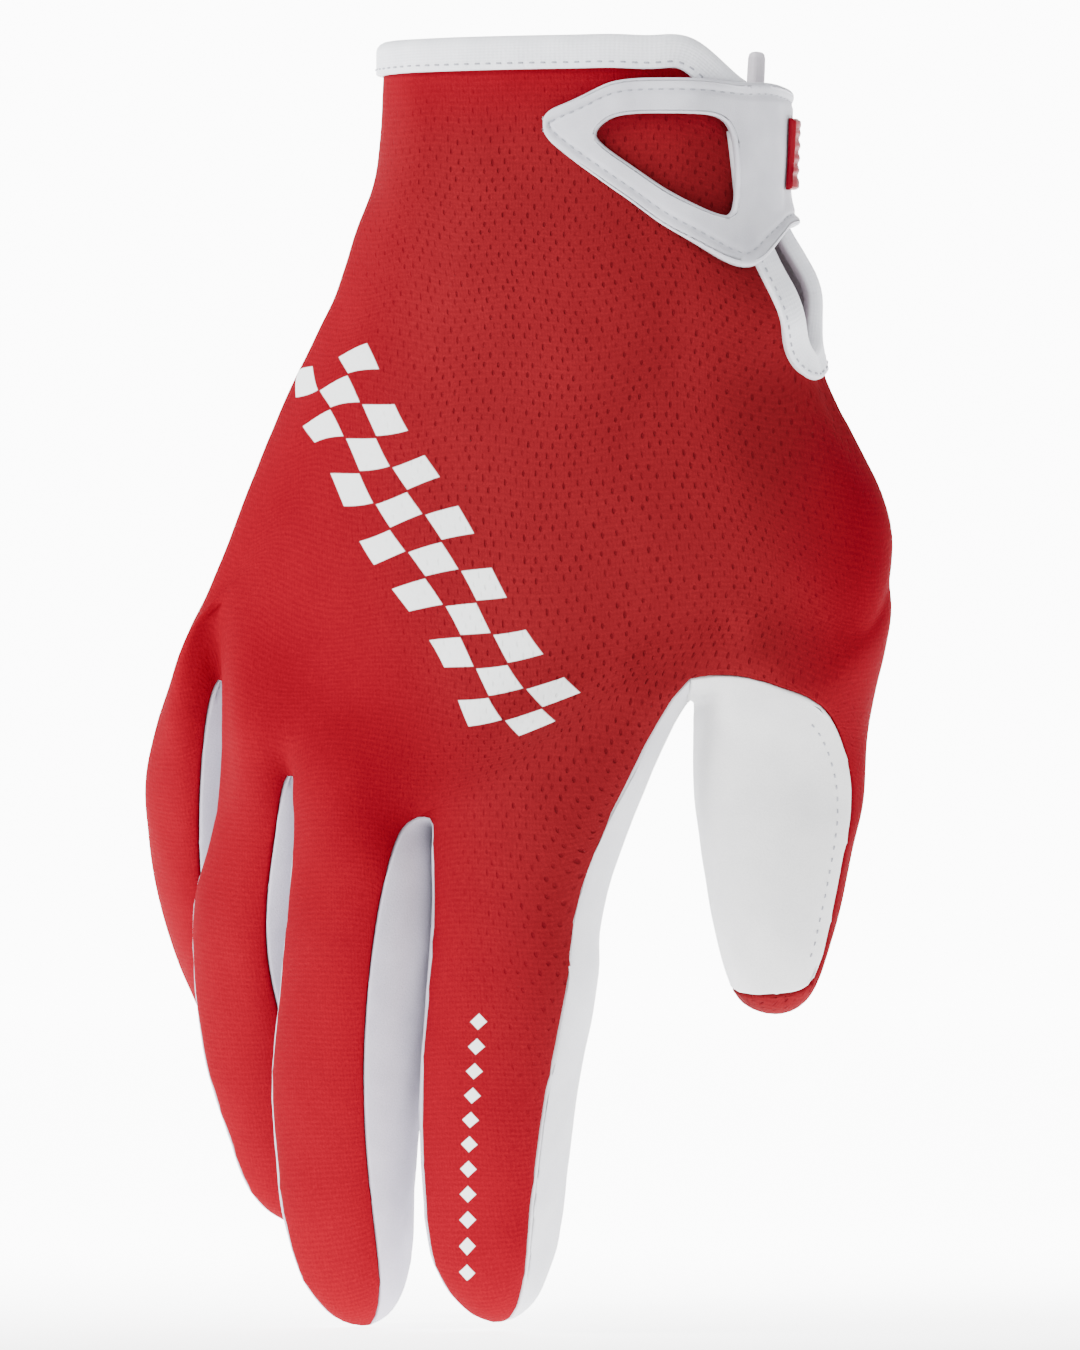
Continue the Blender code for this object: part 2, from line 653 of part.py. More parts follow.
def build_glove():
    for old in list(bpy.data.objects):
        bpy.data.objects.remove(old)
    red_mesh = make_material("red_mesh", (0.56, 0.025, 0.035), 0.85)
    white_suede = make_material("white_suede", (0.76, 0.76, 0.78), 0.80)
    white_elastic = make_material("white_elastic", (0.72, 0.72, 0.76), 0.75)
    white_strap = make_material("white_strap", (0.74, 0.75, 0.78), 0.55)
    red_rubber = make_material("red_rubber", (0.62, 0.02, 0.04), 0.45)
    cage = build_cage()
    solve_cage(cage)
    form = Form(cage, PANEL_LEVELS)
    fitting = Form(cage, FITTING_LEVELS)
    build_panel("back_panel", form, BACK_CLOTH, red_mesh)
    for name in ("palm_panel", "thumb_panel", "index_sidewall", "fourchette_index_middle",
                 "fourchette_middle_ring", "fourchette_ring_little"):
        build_panel(name, form, PALM_CLOTH, white_suede)
    build_binding("cuff_binding", cuff_edge(form), form,
                  CUFF_BINDING_HEIGHT, CUFF_LEG_SHARES, CUFF_BINDING_CLOTH, white_elastic)
    slit = reversed(ordered_edge(form, "slit"))
    edge = [v for v in slit if form.points[v].z < -CUFF_BINDING_HEIGHT - SLIT_BINDING_WIDTH / 2]
    build_binding("slit_binding", edge, form,
                  SLIT_BINDING_WIDTH, SLIT_LEG_SHARES, SLIT_BINDING_CLOTH, white_elastic)
    build_strap(fitting, white_strap)
    build_badge(fitting, red_rubber)


build_glove()
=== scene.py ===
"""A right-hand motocross glove in its worn form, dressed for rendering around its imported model."""
import math

import bmesh
import bpy
import numpy as np
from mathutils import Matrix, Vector, noise
from mathutils.bvhtree import BVHTree
from mathutils.interpolate import poly_3d_calc
from mathutils.kdtree import KDTree

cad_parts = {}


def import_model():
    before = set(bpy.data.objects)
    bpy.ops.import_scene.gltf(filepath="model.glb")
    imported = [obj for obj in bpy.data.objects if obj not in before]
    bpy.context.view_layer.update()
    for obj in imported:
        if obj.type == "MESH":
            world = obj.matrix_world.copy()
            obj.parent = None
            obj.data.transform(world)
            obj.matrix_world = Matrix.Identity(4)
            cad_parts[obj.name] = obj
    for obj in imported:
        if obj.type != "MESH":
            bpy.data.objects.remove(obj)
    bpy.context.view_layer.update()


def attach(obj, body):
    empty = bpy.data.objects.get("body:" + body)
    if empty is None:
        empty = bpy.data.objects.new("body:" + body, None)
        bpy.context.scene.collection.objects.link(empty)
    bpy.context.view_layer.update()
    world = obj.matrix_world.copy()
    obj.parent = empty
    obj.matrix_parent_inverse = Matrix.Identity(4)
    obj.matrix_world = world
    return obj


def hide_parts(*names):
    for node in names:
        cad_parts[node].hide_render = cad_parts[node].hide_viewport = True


MM = 0.001
NOWHERE = Vector((0, 0, 0))
UP = Vector((0, 0, 1))

# Camera: level, far off and turned towards the thumb side, with the height of the view at the glove
CAMERA_TURN = math.radians(18.0)
CAMERA_DISTANCE = 2.0
CAMERA_ACROSS = -0.00619
CAMERA_HEIGHT = -0.1137
VIEW_HEIGHT = 0.2457
SENSOR_HEIGHT = 24.0
VIEW_RIGHT = Vector((math.cos(CAMERA_TURN), math.sin(CAMERA_TURN), 0))
VIEW_AHEAD = Vector((-math.sin(CAMERA_TURN), math.cos(CAMERA_TURN), 0))

# Stage: the glove's lowest point, the flat floor's length, the curve behind it and the backdrop's height
LOWEST = -0.2338
FLOOR_GAP = 0.0005
FLOOR_END = 2.0
CURVE_RADIUS = 1.2
CURVE_STEPS = 12
BACKDROP_HEIGHT = 5.0
STAGE_HALF = 6.0

# Light: the world's, the place that the lamps face, and each lamp's name, place, size and power
WORLD_LIGHT = 0.55
LIT_MIDDLE = Vector((0, 0, -0.11))
LAMPS = [
    ("key", (-0.62, -0.52, 0.36), 0.36, 16.0),
    ("fill", (1.3, -1.6, 0.2), 1.4, 20.0),
    ("top", (0.1, -0.1, 1.7), 1.2, 15.0),
]

# Driving sizes of the hand form
WRIST_BREADTH = 0.0740
HAND_BREADTH = 0.1260
HAND_DEPTH = 0.0400
PALM_LENGTH = 0.1100

# How far each finger reaches below its root, and how broad it is there
INDEX_REACH = 0.0995
INDEX_BREADTH = 0.0300
MIDDLE_REACH = 0.0915
MIDDLE_BREADTH = 0.0270
RING_REACH = 0.0830
RING_BREADTH = 0.0250
LITTLE_REACH = 0.0675
LITTLE_BREADTH = 0.0220
THUMB_REACH = 0.0610
THUMB_BREADTH = 0.0300

# Cloth and seams
BACK_CLOTH = 0.0013
PALM_CLOTH = 0.0012
SEAM_GAP = 0.00014

# Bindings folded over the wrist edge and the slit
CUFF_BINDING_HEIGHT = 0.0045
CUFF_BINDING_CLOTH = 0.0011
SLIT_BINDING_WIDTH = 0.0044
SLIT_BINDING_CLOTH = 0.0009
FIT_CLEARANCE = 0.0003

# Closure strap and its badge
STRAP_CLOTH = 0.0016
STRAP_DEPTH = 0.0265
BADGE_HEIGHT = 0.0130
BADGE_THICKNESS = 0.0012

# Roundness of the hand sections and corner places of the finger sections, as shares of their halves
SECTION_POWER = 2.4
CORNER_SIDE = 0.80
CORNER_BACK = 0.74

# Sections of the wrist and palm from the cuff down. down is a share of PALM_LENGTH and sinks with the
# finger roots. ulnar and radial are shares of WRIST_BREADTH in the first WRIST_ROWS rows and of
# HAND_BREADTH below. The four depths are shares of HAND_DEPTH: the middles of the two sides, and the
# rise of the back and of the palm above the line between them. corner is where each side ends, as a
# share of half the breadth, and spread moves the columns from even spacing to that of the finger roots.
WRIST_ROWS = 3
HAND_SECTIONS = [
    # down, ulnar, radial, ulnar_depth, radial_depth, back_rise, palm_rise, corner, spread
    (0.00, -0.478, 0.507, 0.000, 0.000, 0.525, 0.525, 0.930, 0.00),
    (0.19, -0.496, 0.500, 0.000, 0.010, 0.515, 0.515, 0.985, 0.00),
    (0.30, -0.555, 0.512, 0.020, 0.030, 0.510, 0.510, 0.968, 0.00),
    (0.42, -0.369, 0.352, 0.060, 0.080, 0.500, 0.500, 0.945, 0.10),
    (0.58, -0.447, 0.348, 0.125, 0.175, 0.500, 0.500, 0.985, 0.30),
    (0.78, -0.537, 0.438, 0.225, 0.250, 0.513, 0.475, 0.950, 0.60),
    (0.91, -0.600, 0.444, 0.325, 0.300, 0.525, 0.375, 0.950, 0.85),
]

# The slit is open over this many rows, and the cuff drops beside it
SLIT_ROWS = 4
CUFF_DROP = 0.0050

# Lines between the finger roots, from the outer side of the little finger to the outer side of the
# thumb. Each has a point on the back, one in the crotch and one on the palm, as shares of HAND_BREADTH
# across, HAND_DEPTH towards the palm and PALM_LENGTH down.
ROOT_LINES = [
    # back, crotch, palm
    ((-0.628, 0.250, 0.982), (-0.655, 0.450, 1.018), (-0.615, 0.675, 1.000)),
    ((-0.556, 0.100, 0.960), (-0.530, 0.400, 1.050), (-0.497, 0.690, 1.075)),
    ((-0.421, -0.150, 1.160), (-0.405, 0.125, 1.205), (-0.392, 0.425, 1.225)),
    ((-0.216, -0.200, 1.264), (-0.206, 0.075, 1.300), (-0.198, 0.375, 1.310)),
    ((0.190, -0.150, 1.040), (0.158, 0.125, 1.085), (0.136, 0.400, 1.055)),
    ((0.385, 0.000, 1.059), (0.441, 0.300, 0.982), (0.397, 0.600, 0.945)),
]

# Crowns between those lines, on the back and on the palm, in the same shares
ROOT_CROWNS = [
    # back, palm
    ((-0.608, 0.088, 0.982), (-0.565, 0.800, 1.027)),
    ((-0.498, -0.130, 1.100), (-0.455, 0.650, 1.127)),
    ((-0.317, -0.325, 1.218), (-0.302, 0.450, 1.218)),
    ((-0.016, -0.350, 1.164), (-0.024, 0.450, 1.155)),
    ((0.294, -0.125, 1.045), (0.286, 0.750, 0.973)),
]

# Sections of each finger below its root. down and palmar are shares of its reach, and side, half_breadth
# and half_depth of its breadth. roll turns its back towards the little-finger side, in degrees. The last
# row is the tip.
INDEX_SECTIONS = [
    # down, side, palmar, half_breadth, half_depth, roll
    (0.171, -0.240, -0.040, 0.538, 0.450, 8),
    (0.352, -0.295, -0.030, 0.500, 0.433, 8),
    (0.553, -0.410, 0.000, 0.470, 0.417, 8),
    (0.750, -0.505, 0.050, 0.425, 0.383, 8),
    (0.925, -0.550, 0.093, 0.325, 0.300, 8),
    (1.020, -0.560, 0.121, 0.0, 0.0, 8),
]
MIDDLE_SECTIONS = [
    (0.141, -0.035, -0.055, 0.485, 0.455, 20),
    (0.343, -0.135, -0.022, 0.500, 0.463, 24),
    (0.566, -0.270, 0.027, 0.485, 0.444, 18),
    (0.786, -0.345, 0.093, 0.440, 0.407, 8),
    (0.956, -0.335, 0.148, 0.335, 0.326, 5),
    (1.051, -0.300, 0.175, 0.0, 0.0, 5),
]
RING_SECTIONS = [
    (0.185, -0.060, 0.020, 0.450, 0.450, 32),
    (0.402, -0.275, 0.075, 0.490, 0.470, 30),
    (0.638, -0.330, 0.145, 0.480, 0.460, 14),
    (0.853, -0.280, 0.220, 0.440, 0.420, 4),
    (1.018, -0.215, 0.280, 0.345, 0.345, 4),
    (1.113, -0.155, 0.320, 0.0, 0.0, 4),
]
LITTLE_SECTIONS = [
    (0.193, -0.195, 0.090, 0.400, 0.470, 28),
    (0.407, -0.320, 0.200, 0.460, 0.490, 32),
    (0.630, -0.330, 0.300, 0.470, 0.475, 42),
    (0.822, -0.250, 0.390, 0.430, 0.430, 38),
    (0.967, -0.170, 0.460, 0.345, 0.345, 35),
    (1.057, -0.100, 0.510, 0.0, 0.0, 35),
]
THUMB_SECTIONS = [
    (0.238, -0.095, 0.090, 0.517, 0.450, -28),
    (0.516, -0.125, 0.107, 0.455, 0.417, -28),
    (0.756, -0.157, 0.123, 0.360, 0.367, -28),
    (0.930, -0.172, 0.139, 0.250, 0.262, -28),
    (1.015, -0.168, 0.156, 0.0, 0.0, -28),
]
FINGERS = [
    # reach, breadth, sections, and the panels of its back, thumb side, palm and little-finger side
    (LITTLE_REACH, LITTLE_BREADTH, LITTLE_SECTIONS,
     ("back_panel", "fourchette_ring_little", "palm_panel", "back_panel")),
    (RING_REACH, RING_BREADTH, RING_SECTIONS,
     ("back_panel", "fourchette_middle_ring", "palm_panel", "fourchette_ring_little")),
    (MIDDLE_REACH, MIDDLE_BREADTH, MIDDLE_SECTIONS,
     ("back_panel", "fourchette_index_middle", "palm_panel", "fourchette_middle_ring")),
    (INDEX_REACH, INDEX_BREADTH, INDEX_SECTIONS,
     ("back_panel", "index_sidewall", "palm_panel", "fourchette_index_middle")),
    (THUMB_REACH, THUMB_BREADTH, THUMB_SECTIONS,
     ("thumb_panel", "back_panel", "palm_panel", "thumb_panel")),
]

# Stations of the closure strap round the wrist: turn is the angle from the middle of the back to the
# thumb side, in degrees. The four heights below the cuff are shares of STRAP_DEPTH: the strap's upper
# edge, the window's upper and lower edge, and the strap's lower edge. open says whether the window is
# open up to the next station, and lift is how far the strap stands clear, as a share of the slit
# binding's height.
STRAP_STATIONS = [
    # turn, top, window_top, window_bottom, bottom, open, lift
    (3.5, 0.506, 0.530, 0.564, 0.589, False, 0.0),
    (6.0, 0.453, 0.511, 0.589, 0.657, False, 0.0),
    (11.0, 0.425, 0.500, 0.615, 0.713, False, 0.0),
    (20.0, 0.375, 0.510, 0.645, 0.815, False, 0.0),
    (28.0, 0.312, 0.592, 0.648, 0.902, True, 0.0),
    (34.0, 0.260, 0.500, 0.732, 0.977, True, 0.0),
    (43.0, 0.238, 0.479, 0.842, 1.083, True, 0.1),
    (52.0, 0.238, 0.479, 0.966, 1.215, True, 0.7),
    (60.0, 0.242, 0.483, 1.079, 1.336, True, 1.2),
    (66.0, 0.249, 0.490, 1.175, 1.450, True, 1.2),
    (70.5, 0.253, 0.600, 1.190, 1.530, False, 1.2),
    (76.0, 0.253, 0.630, 1.130, 1.553, False, 1.1),
    (82.0, 0.260, 0.620, 1.040, 1.415, False, 1.0),
    (90.0, 0.279, 0.600, 0.950, 1.270, False, 1.0),
    (100.0, 0.309, 0.610, 0.930, 1.249, False, 1.0),
    (112.0, 0.325, 0.620, 0.930, 1.245, False, 1.0),
    (126.0, 0.325, 0.620, 0.930, 1.245, False, 0.6),
    (140.0, 0.325, 0.620, 0.930, 1.245, False, 0.0),
]
BADGE_TURNS = (90.0, 122.0)
BADGE_TOP = 0.487
BADGE_COLUMNS = 45
BADGE_ROWS = 33

# Columns round the hand: the back from the little-finger side to the thumb side, one on the thumb side,
# the palm back again, and one on the little-finger side
BACK_COLUMNS = 2 * len(FINGERS) + 1
RADIAL_COLUMN = BACK_COLUMNS
COLUMNS = 2 * BACK_COLUMNS + 2
ULNAR_COLUMN = COLUMNS - 1

# How far the row below the slit rises at each column to close it
SLIT_RISES = {
    RADIAL_COLUMN - 1: 0.0065,
    RADIAL_COLUMN: 0.0035,
    RADIAL_COLUMN + 1: 0.0025,
}

# How much of the cuff's drop at the slit each column takes
CUFF_DROP_SHARES = {
    RADIAL_COLUMN - 3: 0.04,
    RADIAL_COLUMN - 2: 0.25,
    RADIAL_COLUMN - 1: 1.60,
    RADIAL_COLUMN: 1.50,
    RADIAL_COLUMN + 1: 1.60,
    RADIAL_COLUMN + 2: 1.60,
    RADIAL_COLUMN + 3: 1.20,
    RADIAL_COLUMN + 4: 0.45,
}
SOLVER_ROUNDS = 14

# Columns at the ends and in the middle of the back and of the palm, where the back's are counted from
# below zero on the little-finger side
BACK_SPAN = (ULNAR_COLUMN - 1 - COLUMNS, RADIAL_COLUMN + 1)
PALM_SPAN = (RADIAL_COLUMN + 1, ULNAR_COLUMN - 1)
MIDDLE_BACK = len(FINGERS)
MIDDLE_PALM = PALM_SPAN[0] + len(FINGERS)

# Subdivision of the hand surface and of the strap for the looks
LOOK_LEVELS = 3
STRAP_LEVELS = 4

# How far from a cut edge the loops that round it lie, and the radius they round it with
EDGE_LOOPS = (0.00060, 0.00035, 0.00015)
EDGE_ROLL = 0.00055

# Rounds of smoothing of the seam lines, and how many rows of cloth beside them move too
RELAX_ROUNDS = 32
RELAX_REACH = 9
SLIT_ROUNDS = 4

# How many points on each side set the direction of a binding
FRAME_REACH = 4

# The seams of the index finger's back that are moved first: the other panel, how far out the seam lies
# at least, heights from the tip up, and the shifts at those heights
SHIFT_STEPS = 4
SEAM_SHIFTS = [
    ("index_sidewall", -0.05, (-0.220, -0.205, -0.180, -0.165, -0.150, -0.135, -0.118),
     (0.0012, 0.0026, 0.0034, 0.0064, 0.0086, 0.0064, 0.0)),
    ("fourchette_index_middle", -0.0300, (-0.165, -0.150, -0.143, -0.130), (0.0, -0.0018, -0.0030, 0.0)),
]

# Slow unevenness of worn cloth: the height of each kind of wave, and how many lie on a metre
WAVES = ((0.00035, 55), (0.00016, 140))

# Puckers beside a seam: their height, how far from the seam they fade, and how many lie on a metre
PUCKER_HEIGHT = 0.00016
PUCKER_REACH = 0.0022
PUCKER_RATE = 420

# Rows of stitches: the distance from one to the next, and the share of it that the thread covers
CUFF_STITCHES = (0.0021, 0.55)
SLIT_STITCHES = (0.0019, 0.55)
STRAP_STITCHES = (0.0019, 0.60)
THUMB_STITCHES = (0.0022, 0.40)

# Thread of the visible stitches, how far inside the edges their rows lie, and where the thumb's row runs
THREAD_RADIUS = 0.00017
THREAD_SIDES = 6
CUFF_STITCH_INSET = 0.0011
SLIT_STITCH_INSET = 0.0009
THUMB_STITCH_INSET = 0.0034
THUMB_STITCHES_PAST = 0.036
THUMB_STITCHES_START = -0.118
THUMB_STITCHES_END = -0.1695

# The strap's flat drawing has this many metres to a degree round the wrist
STRAP_SCALE = 0.037 * math.radians(1)

# How far the window's right end bulges at its upper and lower corner, by the turn of the station, and how
# closely the smooth strap keeps to the straight lines of the window and of the outline
WINDOW_BULGES = {66.0: (0.5, 2.0), 70.5: (1.0, 3.5), 76.0: (1.0, 2.0)}
WINDOW_CREASE = 0.97
OUTLINE_CREASE = 0.45

# The groove of the strap's stitches and the low rim outside it, by their distance from the outline
GROOVE_INSET = 0.0021
GROOVE_WIDTH = 0.00048
GROOVE_DEPTH = 0.00040
RIM_INSET = 0.0009
RIM_WIDTH = 0.0007
RIM_HEIGHT = 0.00012

# The badge's ribs: their pitch and depth, and the plain border round them with its soft end
RIB_PITCH = 0.0022
RIB_DEPTH = 0.00035
RIB_BORDER = 0.0012
RIB_FADE = 0.0008

# The cuff's loop: its place round the wrist, its lower end below the cuff, its sizes, how far it is set
# in and leans out, its breadth at heights from its foot to its top, and how much painted shade, in the
# lining's dark colour, it takes
LOOP_TURN = 106.0
LOOP_LOW = 0.0085
LOOP_HEIGHT = 0.0078
LOOP_BREADTH = 0.0040
LOOP_CLOTH = 0.0028
LOOP_INSET = 0.0034
LOOP_LEAN = 0.0004
LOOP_SHAPE = ((0.0, 1.0), (0.3, 1.0), (0.6, 1.0), (0.85, 0.97), (0.94, 0.86), (0.985, 0.62), (1.0, 0.3))
LOOP_SIDES = 24
LOOP_SHADE = 0.55

# Soft creases of the cloth: a line from one end to the other as seen from the front, its depth and
# half-width. side is -1 for the back and 1 for the palm.
CREASES = [
    # side, x0, z0, x1, z1, depth, width
    (-1, 0.0170, -0.1120, 0.0300, -0.1060, 0.0011, 0.0030),
    (-1, 0.0220, -0.1180, 0.0370, -0.1150, 0.0006, 0.0022),
]

# The print, in millimetres: chequers along a line that slants over the back, which starts at a place on
# the cloth and is turned by some degrees, and a row of small lozenges down the index finger
PRINT_START = (-46.5, 58.0)
PRINT_TURN = 34.0
PRINT_SLANT = -0.42
CHEQUER_PITCH = 5.6
CHEQUER_BREADTH = 6.4
CHEQUER_ROWS = 14
CHEQUER_COLUMNS = 3
LADDER_START = (-13.0, 176.0)
LADDER_LEAN = -0.14
LADDER_PITCH = 4.6
LADDER_COUNT = 11
LADDER_HALF = 1.5

# The knit's dimples, in millimetres: the distance from row to row and from one to the next in a row,
# half their breadth and half their height
DIMPLE_ROWS = 1.72
DIMPLE_PITCH = 2.30
DIMPLE_BREADTH = 0.21
DIMPLE_HEIGHT = 0.46

# Where the dimples are open, and how softly that ends: past a line towards the little-finger side, short
# of one towards the thumb, above the fingertips and below the cuff. The first line leans by a share of
# the drop below the knuckles, and the second by a share of the rise above them.
OPEN_PAST = (-0.030, 0.007)
OPEN_SHORT = (0.046, 0.005)
OPEN_ABOVE = (-0.205, 0.008)
OPEN_BELOW = (-0.012, 0.004)
KNUCKLES = -0.08
PAST_LEAN = 0.25
SHORT_LEAN = 0.2

# Colours in linear light
WHITE = (1.0, 1.0, 1.0)
CLOSED_KNIT = ((0.13, 0.0010, 0.0060), (0.24, 0.0016, 0.0100))
# Red of the open knit with painted sheen: its extra green and blue stand in for the whitish sheen of the fuzz
OPEN_KNIT_AND_SHEEN = ((0.125, 0.0062, 0.0092), (0.235, 0.0130, 0.0170))
# Painted shade in the knit's dimples
DIMPLE_PAINTED_SHADE = (0.045, 0.0, 0.003)
PRINT_WHITE = (0.80, 0.83, 0.83)
# The print greyed by painted shade where it dips into the dimples
PRINT_DIMPLE_SHADE = (0.50, 0.48, 0.48)
# Mauve lining colour, darkened with painted shade for the inside of the glove
SUEDE_LINING_AND_SHADE = (0.22, 0.16, 0.20)
# Painted shade on the inside of the bindings and on the loop
ELASTIC_INSIDE_SHADE = (0.38, 0.32, 0.37)


def root_point(shares):
    across, palmar, down = shares
    return Vector((across * HAND_BREADTH, palmar * HAND_DEPTH, -down * PALM_LENGTH))


def sides(corners):
    """The directed edges round a face."""
    return zip(corners, corners[1:] + corners[:1])


def edge_users(faces):
    """The numbers of the faces at each edge, by the edge's two points in rising order."""
    users = {}
    for number, corners in enumerate(faces):
        for a, b in sides(corners):
            users.setdefault((min(a, b), max(a, b)), []).append(number)
    return users


def border_edges(faces):
    """The directed edges that only one face uses."""
    used = {edge for corners in faces for edge in sides(corners)}
    return [(a, b) for corners in faces for a, b in sides(corners) if (b, a) not in used]


def new_mesh(name, points, faces, places=()):
    """A mesh whose face corners carry their places on the flat cloth, where these are given."""
    mesh = bpy.data.meshes.new(name)
    mesh.from_pydata([tuple(p) for p in points], [], faces)
    if places:
        layer = mesh.uv_layers.new(name="cloth")
        layer.data.foreach_set("uv", [x for face in places for place in face for x in place])
    return mesh


def subdivide(mesh, levels, **settings):
    """Smooths a mesh and gives its points, normals, faces, material numbers and corner places."""
    guide = bpy.data.objects.new("guide", mesh)
    bpy.context.collection.objects.link(guide)
    smooth = guide.modifiers.new("smooth", "SUBSURF")
    smooth.levels = levels
    smooth.render_levels = levels
    for key, value in settings.items():
        setattr(smooth, key, value)
    depsgraph = bpy.context.evaluated_depsgraph_get()
    fine = guide.evaluated_get(depsgraph).to_mesh()
    corners = [tuple(corner.uv) for layer in fine.uv_layers for corner in layer.data]
    result = ([v.co.copy() for v in fine.vertices], [v.normal.copy() for v in fine.vertices],
              [tuple(p.vertices) for p in fine.polygons], [p.material_index for p in fine.polygons],
              [[corners[k] for k in p.loop_indices] for p in fine.polygons if corners])
    guide.evaluated_get(depsgraph).to_mesh_clear()
    bpy.data.objects.remove(guide)
    bpy.data.meshes.remove(mesh)
    return result


def store(piece, name, values):
    """Stores one number at each point of a piece."""
    piece.data.attributes.new(name, "FLOAT", "POINT").data.foreach_set("value", values)


class Cage:
    """The coarse surface: its target points, its faces, their panels and their places on the flat cloth."""

    def __init__(self):
        self.points = []
        self.faces = []
        self.tags = []
        self.places = []

    def add_point(self, point):
        self.points.append(Vector(point))
        return len(self.points) - 1

    def add_face(self, corners, tag, places):
        self.faces.append(tuple(corners))
        self.tags.append(tag)
        self.places.append(tuple(places))


def root_ring():
    """The ring of points where the fingers start, in column order."""
    ring = [None] * COLUMNS
    for line, (back, _, palm) in enumerate(ROOT_LINES):
        ring[2 * line] = root_point(back)
        ring[COLUMNS - 2 - 2 * line] = root_point(palm)
    for finger, (back, palm) in enumerate(ROOT_CROWNS):
        ring[2 * finger + 1] = root_point(back)
        ring[COLUMNS - 3 - 2 * finger] = root_point(palm)
    ring[RADIAL_COLUMN] = root_point(ROOT_LINES[-1][1])
    ring[ULNAR_COLUMN] = root_point(ROOT_LINES[0][1])
    return ring


def hand_section(row, roots):
    """One ring of points round the wrist or palm."""
    down, ulnar, radial, ulnar_depth, radial_depth, back_rise, palm_rise, corner, spread = HAND_SECTIONS[row]
    breadth = WRIST_BREADTH if row < WRIST_ROWS else HAND_BREADTH
    left, right = ulnar * breadth, radial * breadth
    middle, half = (left + right) / 2, (right - left) / 2
    first, last = roots[0].x, roots[BACK_COLUMNS - 1].x
    ring = []
    for column in range(COLUMNS):
        if column == RADIAL_COLUMN:
            place, rise = 1.0, 0.0
        elif column == ULNAR_COLUMN:
            place, rise = -1.0, 0.0
        else:
            on_back = column < BACK_COLUMNS
            order = column if on_back else COLUMNS - 2 - column
            even = order / (BACK_COLUMNS - 1)
            rooted = (roots[order].x - first) / (last - first)
            share = even + (rooted - even) * spread
            place = (2 * share - 1) * corner
            arch = (1 - min(1.0, abs(place)) ** SECTION_POWER) ** (1 / SECTION_POWER)
            rise = -arch * back_rise if on_back else arch * palm_rise
        chord = ulnar_depth + (radial_depth - ulnar_depth) * (place + 1) / 2
        point = Vector((middle + place * half, (chord + rise) * HAND_DEPTH, down * roots[column].z))
        if row == SLIT_ROWS:
            point.z += SLIT_RISES.get(column, 0.0)
        if row == 0:
            point.z -= CUFF_DROP * CUFF_DROP_SHARES.get(column, 0.0)
        ring.append(point)
    return ring


def finger_sections(finger, root):
    """The eight-sided rings of one finger below its root, and its tip."""
    reach, breadth, table, _ = FINGERS[finger]
    centres = [root + Vector((side * breadth, palmar * reach, -down * reach))
               for down, side, palmar, _, _, _ in table]
    rings = []
    for k, (_, _, _, half_breadth, half_depth, roll) in enumerate(table[:-1]):
        above = centres[k - 1] if k else root
        axis = (centres[k + 1] - above).normalized()
        angle = math.radians(roll)
        outward = Vector((-math.sin(angle), -math.cos(angle), 0))
        outward = (outward - axis * outward.dot(axis)).normalized()
        sideways = outward.cross(axis).normalized()
        if sideways.x < 0:
            sideways.negate()
        wide, deep = half_breadth * breadth, half_depth * breadth
        corners = [(-CORNER_SIDE, CORNER_BACK), (0, 1), (CORNER_SIDE, CORNER_BACK), (1, 0),
                   (CORNER_SIDE, -CORNER_BACK), (0, -1), (-CORNER_SIDE, -CORNER_BACK), (-1, 0)]
        rings.append([centres[k] + sideways * (x * wide) + outward * (y * deep) for x, y in corners])
    return rings, centres[-1]


LEVEL = Vector((1, 1, 0))
UPRIGHT = Vector((0, 1, 1))
FULL = Vector((1, 1, 1))


def signed_arcs(points, middle, weights=FULL):
    """The distances along a row of points, counted from one of them."""
    steps = [0.0]
    for a, b in zip(points, points[1:]):
        steps.append(steps[-1] + ((b - a) * weights).length)
    return [step - steps[middle] for step in steps]


def hand_places(ring):
    """How far across the cloth each column lies, on the back and on the palm."""
    across = []
    for (first, last), middle, sign in ((BACK_SPAN, MIDDLE_BACK, 1), (PALM_SPAN, MIDDLE_PALM, -1)):
        columns = range(first, last + 1)
        arcs = signed_arcs([ring[column % COLUMNS] for column in columns], middle - first, LEVEL)
        across.append({column: arc + sign * ring[middle].x for column, arc in zip(columns, arcs)})
    return across


def build_cage():
    cage = Cage()
    roots = root_ring()
    rings = [hand_section(row, roots) for row in range(len(HAND_SECTIONS))] + [roots]
    rows = [[cage.add_point(p) for p in ring] for ring in rings]
    across = [hand_places(ring) for ring in rings]
    down = [[0.0] * COLUMNS]
    for above, below in zip(rings, rings[1:]):
        down.append([length + ((b - a) * UPRIGHT).length for length, a, b in zip(down[-1], above, below)])
    for row in range(len(rows) - 1):
        for column in range(COLUMNS):
            beside = (column + 1) % COLUMNS
            if column in (RADIAL_COLUMN - 1, RADIAL_COLUMN):
                tag = "slit" if row < SLIT_ROWS else "back_panel"
            elif RADIAL_COLUMN < column < ULNAR_COLUMN - 1:
                tag = "palm_panel"
            else:
                tag = "back_panel"
            on_palm = tag == "palm_panel"
            count = column if on_palm or column <= RADIAL_COLUMN else column - COLUMNS
            places = [(across[r][on_palm][count + side], down[r][(column + side) % COLUMNS])
                      for r, side in ((row, 0), (row + 1, 0), (row + 1, 1), (row, 1))]
            corners = (rows[row][column], rows[row + 1][column], rows[row + 1][beside], rows[row][beside])
            cage.add_face(corners, tag, places)
    crotches = [rows[-1][ULNAR_COLUMN]]
    crotches += [cage.add_point(root_point(crotch)) for _, crotch, _ in ROOT_LINES[1:-1]]
    crotches.append(rows[-1][RADIAL_COLUMN])
    for finger in range(len(FINGERS)):
        add_finger(cage, finger, rows[-1], crotches, across[-1], down[-1])
    return cage


def ring_places(points, downs, centre, offset):
    """The cloth places round a finger, counted from one of its eight corners."""
    size = len(points)
    order = [(centre + k) % size for k in range(1 - size // 2, size // 2 + 1)]
    arcs = signed_arcs([points[k] for k in order], size // 2 - 1, LEVEL)
    return {k: (offset + points[centre].x + arc, downs[k]) for k, arc in zip(order, arcs)}


